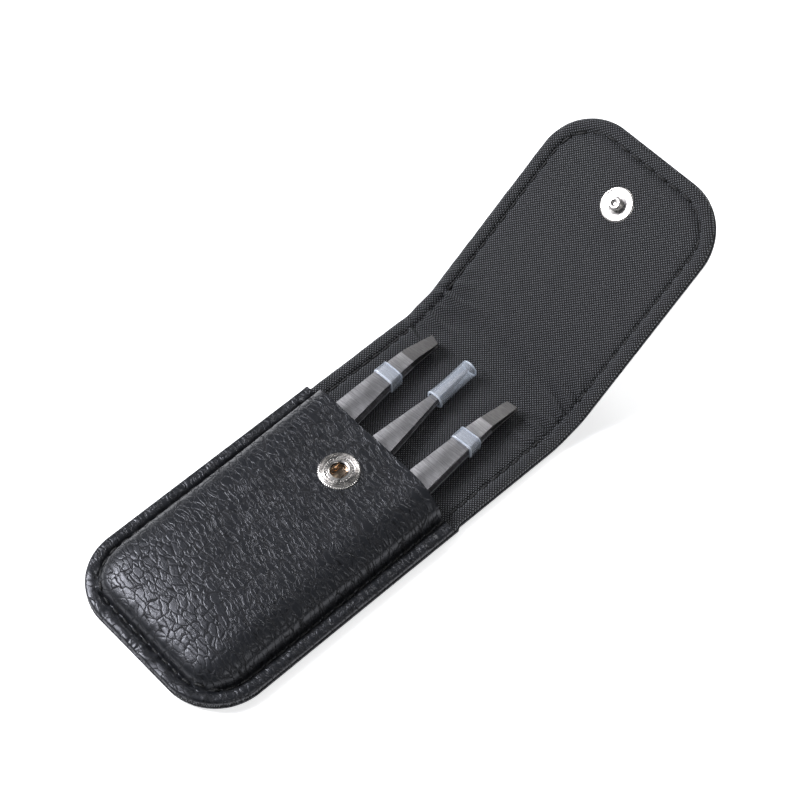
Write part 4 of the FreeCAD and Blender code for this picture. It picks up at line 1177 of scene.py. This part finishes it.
def tube_along(name, points, radius, material, sides=12):
    """A round wire through points."""
    points = np.array(points, float)
    ways = np.gradient(points, axis=0)
    verts = []
    for point, way in zip(points, ways):
        way = way / np.linalg.norm(way)
        side = np.cross(way, (0, 0, 1.0))
        side = side / np.linalg.norm(side)
        high = np.cross(side, way)
        for k in range(sides):
            turn = 2 * math.pi * k / sides
            verts.append(point + radius * (side * math.cos(turn) + high * math.sin(turn)))
    faces = tube_faces(len(points), sides) + end_faces(len(points), sides)
    thing = make_object(name, verts, faces, material)
    tidy_mesh(thing)
    return thing


def make_spring_wires():
    """Two wires across the socket's hole, bowed a little inwards, with hooked ends."""
    low, high = node_box("snap_spring_wires")
    middle = (low + high) / 2
    reach = (high[1] - low[1]) / 2 - 0.25
    apart = (high[0] - low[0]) / 2 - WIRE_RADIUS - 0.02
    wires = []
    for side in (-1, 1):
        points = []
        for i in range(21):
            share = i / 20 * 2 - 1
            bow = 0.12 * (1 - share * share)
            hook = 0.9 * max(abs(share) - 0.8, 0) * 2
            points.append((side * (apart - bow - hook), share * reach, 0.0))
        wires.append(tube_along("wire", points, WIRE_RADIUS, BRASS_LOOK))
    pair = join("snap_wires", wires)
    pair.matrix_world = Matrix.Translation(Vector(middle * MM))
    take_place(pair, "nickel", "case", "snap_spring_wires")


def make_rivet():
    """The rivet that holds the socket: a tube through the leather, flanged in the pocket."""
    low, high = node_box("snap_rivet")
    tall = high[2] - low[2]
    profile = rounded_profile(
        [(0.0, 0.0), (4.5, 0.0), (4.5, 0.24), (2.33, 0.26), (2.33, tall - 0.1), (2.1, tall - 0.1),
         (2.08, 0.34), (0.0, 0.3)],
        0.1,
    )
    rivet = turned_object("snap_rivet_tube", profile, BRASS_LOOK)
    stand_over_hole(rivet, low[2])
    take_place(rivet, "nickel", "case", "snap_rivet")


def make_stud():
    """The flap's stud: a flat flange with a ring of beads, and a necked head with a dimple."""
    profile = rounded_profile(
        [(0.0, -0.1), (4.3, -0.1), (4.5, 0.05), (4.45, 0.28), (4.1, 0.42), (3.7, 0.36), (2.6, 0.4),
         (2.1, 0.5), (1.5, 0.62), (1.42, 1.2), (1.72, 1.42), (1.84, 1.62), (1.74, 1.86), (1.3, 2.02),
         (0.85, 2.0), (0.5, 1.8), (0.0, 1.74)],
        0.14,
        4,
    )
    stud = turned_object("snap_stud_flange", profile, NICKEL_LOOK, 96)
    beads = ring_of("stud_beads", 34, 3.25, 0.3, 0.15, NICKEL_LOOK)
    stud = join("snap_stud_flange", [stud, beads])
    stand_on_flap(stud, STACK_TOP)
    take_place(stud, "nickel", "flap", "snap_stud")


def make_cap():
    """The snap's plain domed cap on the flap's outside, with its post."""
    turns = np.linspace(0, math.pi / 2 - 0.12, 14)
    dome = [(6.15 * math.sin(turn), -0.98 * math.cos(turn) ** 0.8) for turn in turns]
    post = [(6.2, -0.08), (6.1, 0.04), (1.2, 0.06), (1.2, 2.0), (0.0, 2.0)]
    profile = [(0.0, dome[0][1])] + dome[1:] + post
    cap = turned_object("snap_cap_dome", profile, NICKEL_LOOK, 96)
    stand_on_flap(cap, 0.0)
    take_place(cap, "nickel", "flap", "snap_cap")


# --------------------------------------------------
# Tweezers
# --------------------------------------------------

# Places along a pair are measured from the pocket's mouth towards the tips.
ARM_THICK = 0.8
TIP_THICK = 0.45
ROOT_TO_MOUTH = 51.0
WELD_GAP = 0.15
TAIL_LONG = 12.0
TAIL_ROUND = 2.4
TAIL_HALF = 3.5
TAIL_FACES = (0.02, 0.85)
LANES = 7
THICKNESS = ((-ROOT_TO_MOUTH, ARM_THICK), (20.0, ARM_THICK), (34.0, TIP_THICK))

# (place along the pair, height of the arm's inner face above the pair's middle)
BOW_START = ((-ROOT_TO_MOUTH, 0.05), (-44.0, 0.3), (-34.0, 1.05), (-24.0, 1.33))
FLAT_BOW = BOW_START + ((0.0, 1.3), (14.0, 1.16), (20.0, 1.05), (25.0, 0.82), (30.0, 0.5), (34.0, 0.32))
POINT_BOW = BOW_START + ((0.0, 1.12), (12.0, 0.84), (20.0, 0.62), (26.0, 0.42), (34.0, 0.22))

# (place along the pair, half width) inside the pocket, the same for every pair
PLAN_START = ((-ROOT_TO_MOUTH, TAIL_HALF), (-36.0, 4.1), (-24.0, 4.5))
LEFT_START = tuple((place, -half) for place, half in PLAN_START)

# Each pair's left and right outlines, its bow, and where its strip is ground from.
PLANS = {
    "left": {
        "left": LEFT_START + ((0.0, -3.55), (20.0, -2.32), (24.6, -2.02), (33.0, -0.15)),
        "right": PLAN_START + ((0.0, 3.55), (20.0, 2.3), (24.4, 2.26), (31.8, 2.85)),
        "bow": FLAT_BOW,
        "ground": 23.4,
    },
    "middle": {
        "left": LEFT_START + ((0.0, -3.35), (20.0, -1.1), (32.2, -0.26)),
        "right": PLAN_START + ((0.0, 3.35), (20.0, 1.1), (32.2, 0.26)),
        "bow": POINT_BOW,
        "ground": 60.0,
    },
    "right": {
        "left": LEFT_START + ((0.0, -3.55), (20.0, -2.3), (24.4, -1.92), (32.7, -0.8)),
        "right": PLAN_START + ((0.0, 3.55), (20.0, 2.3), (24.4, 2.1), (33.1, 2.52)),
        "bow": FLAT_BOW,
        "ground": 24.4,
    },
}


def through(points, value):
    """A smooth line through (place, value) points, without overshoot."""
    places = np.array([p[0] for p in points])
    values = np.array([p[1] for p in points])
    slopes = np.gradient(values, places)
    steps = np.diff(values) / np.diff(places)
    for i in range(1, len(values) - 1):
        if steps[i - 1] * steps[i] <= 0:
            slopes[i] = 0.0
        else:
            slopes[i] = 2 * steps[i - 1] * steps[i] / (steps[i - 1] + steps[i])
    slopes[0], slopes[-1] = steps[0], steps[-1]
    value = np.asarray(value, float)
    index = np.clip(np.searchsorted(places, value) - 1, 0, len(places) - 2)
    gap = places[index + 1] - places[index]
    share = np.clip((value - places[index]) / gap, 0, 1)
    a = 2 * share**3 - 3 * share**2 + 1
    b = share**3 - 2 * share**2 + share
    c = -2 * share**3 + 3 * share**2
    d = share**3 - share**2
    return a * values[index] + b * gap * slopes[index] + c * values[index + 1] + d * gap * slopes[index + 1]


def pair_matrix(side):
    """From a pair's own frame, with its origin at the mouth, to the row frame."""
    joint = JOINTS[f"{side}_squeeze_lower"]
    across = Vector(joint["axis"]).normalized()
    up = Vector((0, 0, 1))
    along = up.cross(across)
    turn = Matrix((across, along, up)).transposed().to_4x4()
    root = Vector(joint["pos_m"])
    return Matrix.Translation(root + along * ROOT_TO_MOUTH * MM) @ turn


def arm_object(name, plan, sign, material):
    """One arm: a strip whose plan, bow and thickness are smooth curves."""
    shares = np.concatenate([np.linspace(0, 0.86, 60), np.linspace(0.86, 1, 26)[1:]])
    start = WELD_GAP - ROOT_TO_MOUTH
    left_y, right_y = (start + (plan[edge][-1][0] - start) * shares for edge in ("left", "right"))
    left_x = np.interp(left_y, *zip(*plan["left"]))
    right_x = np.interp(right_y, *zip(*plan["right"]))
    lanes = np.linspace(0, 1, LANES)
    xs = left_x[:, None] + (right_x - left_x)[:, None] * lanes
    ys = left_y[:, None] + (right_y - left_y)[:, None] * lanes
    inner = through(plan["bow"], ys)
    outer = inner + np.interp(ys, *zip(*THICKNESS))
    top = np.stack([xs, ys, outer], axis=-1)
    bottom = np.stack([xs, ys, inner], axis=-1)
    if sign < 0:
        top[..., 2], bottom[..., 2] = -inner, -outer
    arm = slab_object(name, top, bottom, material, np.stack([xs, ys], axis=-1))
    bevelled(arm, 0.11)
    return arm


def tail_object(name, material):
    """The welded tail: both strips' ends, with rounded corners and the seam between them."""
    rows = np.concatenate([np.linspace(0, TAIL_ROUND, 9), np.linspace(TAIL_ROUND, TAIL_LONG, 9)[1:]])
    half = TAIL_HALF - corner_fall(np.clip(TAIL_ROUND - rows, 0, TAIL_ROUND), TAIL_ROUND)
    xs = half[:, None] * np.linspace(-1, 1, LANES)
    ys = np.repeat(rows[:, None] - ROOT_TO_MOUTH - TAIL_LONG, LANES, axis=1)
    inner, outer = TAIL_FACES
    strips = []
    for sign in (1, -1):
        top = np.stack([xs, ys, np.full_like(xs, outer if sign > 0 else -inner)], axis=-1)
        bottom = np.stack([xs, ys, np.full_like(xs, inner if sign > 0 else -outer)], axis=-1)
        strip = slab_object(f"{name}_strip", top, bottom, material, np.stack([xs, ys], axis=-1))
        bevelled(strip, 0.12)
        strips.append(strip)
    return join(name, strips)


def make_tweezers():
    """The three pairs, each a welded tail and two arms."""
    for side, plan in PLANS.items():
        steel = steel_material(f"{side}_steel", plan["ground"])
        place = pair_matrix(side)
        pieces = [(tail_object(f"{side}_tail", steel), f"{side}_tweezer_tail", f"{side}_tweezer")]
        for level, sign in (("upper", 1), ("lower", -1)):
            arm = arm_object(f"{side}_{level}_strip", plan, sign, steel)
            pieces.append((arm, f"{side}_tweezer_{level}_arm", f"{side}_{level}_arm"))
        for piece, node, body in pieces:
            piece.matrix_world = place
            take_place(piece, "steel", body, node)


# --------------------------------------------------
# Silicone bands and the tip cap
# --------------------------------------------------


def sleeve_object(name, rings, wall, material, segments=64):
    """A soft tube along Y through (place, half width, half height, squareness) rings.

    A squareness of 2 is an ellipse.
    """
    verts, uvs = [], []
    outline = list(rings) + [(p, w - wall, h - wall, s) for p, w, h, s in reversed(rings)]
    for place, wide, high, square in outline:
        for k in range(segments):
            turn = 2 * math.pi * k / segments
            c, s = math.cos(turn), math.sin(turn)
            power = 2 / square
            x = wide * math.copysign(abs(c) ** power, c)
            z = high * math.copysign(abs(s) ** power, s)
            verts.append((x, place, z))
            uvs.append((turn * wide, place))
    faces = tube_faces(len(outline), segments, closed=True)
    thing = make_object(name, verts, faces, material, uvs)
    tidy_mesh(thing)
    return thing


BAND_WIDE = 3.2
BAND_TALL = 2.52
BAND_TURNS = {"left": -1.5, "right": 3.0}


def make_bands():
    """A clear band around each of the outer pairs, turned a little on it."""
    long, wide, tall = BAND_HALF, BAND_WIDE, BAND_TALL
    rings = [
        (-long, wide - 0.12, tall - 0.12, 5.0),
        (-long + 0.12, wide, tall, 5.0),
        (-long + 0.8, wide + 0.03, tall + 0.02, 5.0),
        (0.0, wide - 0.02, tall, 5.0),
        (long - 0.8, wide - 0.04, tall - 0.02, 5.0),
        (long - 0.12, wide - 0.02, tall - 0.03, 5.0),
        (long, wide - 0.14, tall - 0.15, 5.0),
    ]
    for side, turn in BAND_TURNS.items():
        low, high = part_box(f"{side}_band")
        place = pair_matrix(side)
        middle = place.inverted() @ ((low + high) / 2)
        band = sleeve_object(f"{side}_silicone_band", rings, 0.4, BAND_LOOK)
        band.matrix_world = place @ Matrix.Translation(middle) @ Matrix.Rotation(math.radians(turn), 4, "Z")
        take_place(band, "silicone", f"{side}_band", f"{side}_band")


def make_tip_cap():
    """The clear cap: pinched at its base, flared a little at its open end."""
    low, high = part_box("tip_cap")
    place = pair_matrix("middle")
    middle = place.inverted() @ ((low + high) / 2)
    half = CAP_HALF
    rings = [
        (-half, 2.28, 2.3, 2.6),
        (-half + 0.15, 2.38, 2.38, 2.6),
        (-half + 0.9, 2.3, 2.36, 2.5),
        (-half + 3.0, 2.16, 2.32, 2.3),
        (0.0, 2.16, 2.3, 2.1),
        (half - 3.0, 2.26, 2.34, 2.0),
        (half - 0.3, 2.37, 2.37, 2.0),
        (half, 2.3, 2.3, 2.0),
    ]
    cap = sleeve_object("silicone_tip_cap", rings, 0.42, CAP_LOOK, 72)
    cap.matrix_world = place @ Matrix.Translation(Vector((0, middle.y, middle.z)))
    take_place(cap, "silicone", "tip_cap", "tip_cap")


# --------------------------------------------------
# Camera, light and floor
# --------------------------------------------------

CAMERA_TURN = math.radians(47.826)
CAMERA_RISE = math.radians(56.396)
CAMERA_ROLL = math.radians(-0.821)
CAMERA_AWAY = 611.886
CAMERA_LENS = 110.65
CAMERA_TARGET = np.array([-10.18, 38.05, 0.0])


def make_camera():
    """A camera that looks at a point on the back panel from a turn, a rise and a distance."""
    back = np.array(
        [
            math.sin(CAMERA_TURN) * math.cos(CAMERA_RISE),
            -math.cos(CAMERA_TURN) * math.cos(CAMERA_RISE),
            math.sin(CAMERA_RISE),
        ]
    )
    right = np.array([math.cos(CAMERA_TURN), math.sin(CAMERA_TURN), 0.0])
    up = np.cross(back, right)
    rolled_right = right * math.cos(CAMERA_ROLL) + up * math.sin(CAMERA_ROLL)
    rolled_up = -right * math.sin(CAMERA_ROLL) + up * math.cos(CAMERA_ROLL)
    data = bpy.data.cameras.new("camera")
    data.sensor_width = 36.0
    data.lens = CAMERA_LENS
    data.clip_start = 0.01
    data.clip_end = 10.0
    camera = bpy.data.objects.new("camera", data)
    bpy.context.scene.collection.objects.link(camera)
    turn = Matrix((rolled_right, rolled_up, back)).transposed().to_4x4()
    camera.matrix_world = Matrix.Translation(Vector((CAMERA_TARGET + back * CAMERA_AWAY) * MM)) @ turn
    bpy.context.scene.camera = camera


# (name, place, target, size, power, colour), in metres and watts
LIGHTS = (
    ("key", (-0.62, -0.36, 0.66), (0, 0.02, 0), (0.42, 0.3), 11.0, (0.94, 0.95, 1.0)),
    ("back", (-0.25, 0.85, 0.7), (0, 0.02, 0), (0.6, 0.16), 4.0, (1, 1, 1)),
    ("sky", (-0.54, -0.26, 0.86), (0, 0.0, 0), (0.34, 0.34), 3.8, (0.93, 0.93, 1.0)),
    ("fill", (0.75, -0.1, 0.75), (0, 0.02, 0), (0.4, 0.3), 2.0, (1, 1, 1)),
)
FLOOR_HIGH = -0.00035


def area_light(name, place, target, size, power, colour):
    """A rectangular studio light."""
    data = bpy.data.lights.new(name, "AREA")
    data.shape = "RECTANGLE"
    data.size, data.size_y = size
    data.energy = power
    data.color = colour
    light = bpy.data.objects.new(name, data)
    bpy.context.scene.collection.objects.link(light)
    way = Vector(target) - Vector(place)
    light.matrix_world = Matrix.Translation(Vector(place)) @ way.to_track_quat("-Z", "Y").to_matrix().to_4x4()


def make_studio():
    """The plain pale floor, the four lights and the faint sky."""
    bpy.ops.mesh.primitive_plane_add(size=8.0, location=(0, 0, FLOOR_HIGH))
    floor = bpy.context.object
    floor.name = "floor"
    m = Maker("floor")
    cloudy = m.noise(m.body_place(), 3.0)
    m.shade(
        Base_Color=m.mix(cloudy, grey(0.9), grey(0.92)),
        Roughness=0.9,
        Emission_Color=grey(1.0),
        Emission_Strength=0.65,
    )
    floor.data.materials.append(m.material)
    world = bpy.data.worlds.new("studio")
    bpy.context.scene.world = world
    world.use_nodes = True
    background = world.node_tree.nodes["Background"]
    background.inputs["Color"].default_value = (0.84, 0.91, 1.0, 1)
    background.inputs["Strength"].default_value = 0.07
    for light in LIGHTS:
        area_light(*light)
    bpy.context.scene.view_settings.view_transform = "Standard"


def dress_cad_nodes():
    """Give the CAD nodes that stay their own material."""
    for name in ("back_board", "flap_board"):
        node = frame["nodes"][name]
        node.data.materials.clear()
        node.data.materials.append(BOARD_LOOK)


make_camera()
make_studio()
make_sheets()
make_front()
make_front_lining()
make_stitches()
make_socket()
make_spring_wires()
make_rivet()
make_stud()
make_cap()
make_tweezers()
make_bands()
make_tip_cap()
dress_cad_nodes()
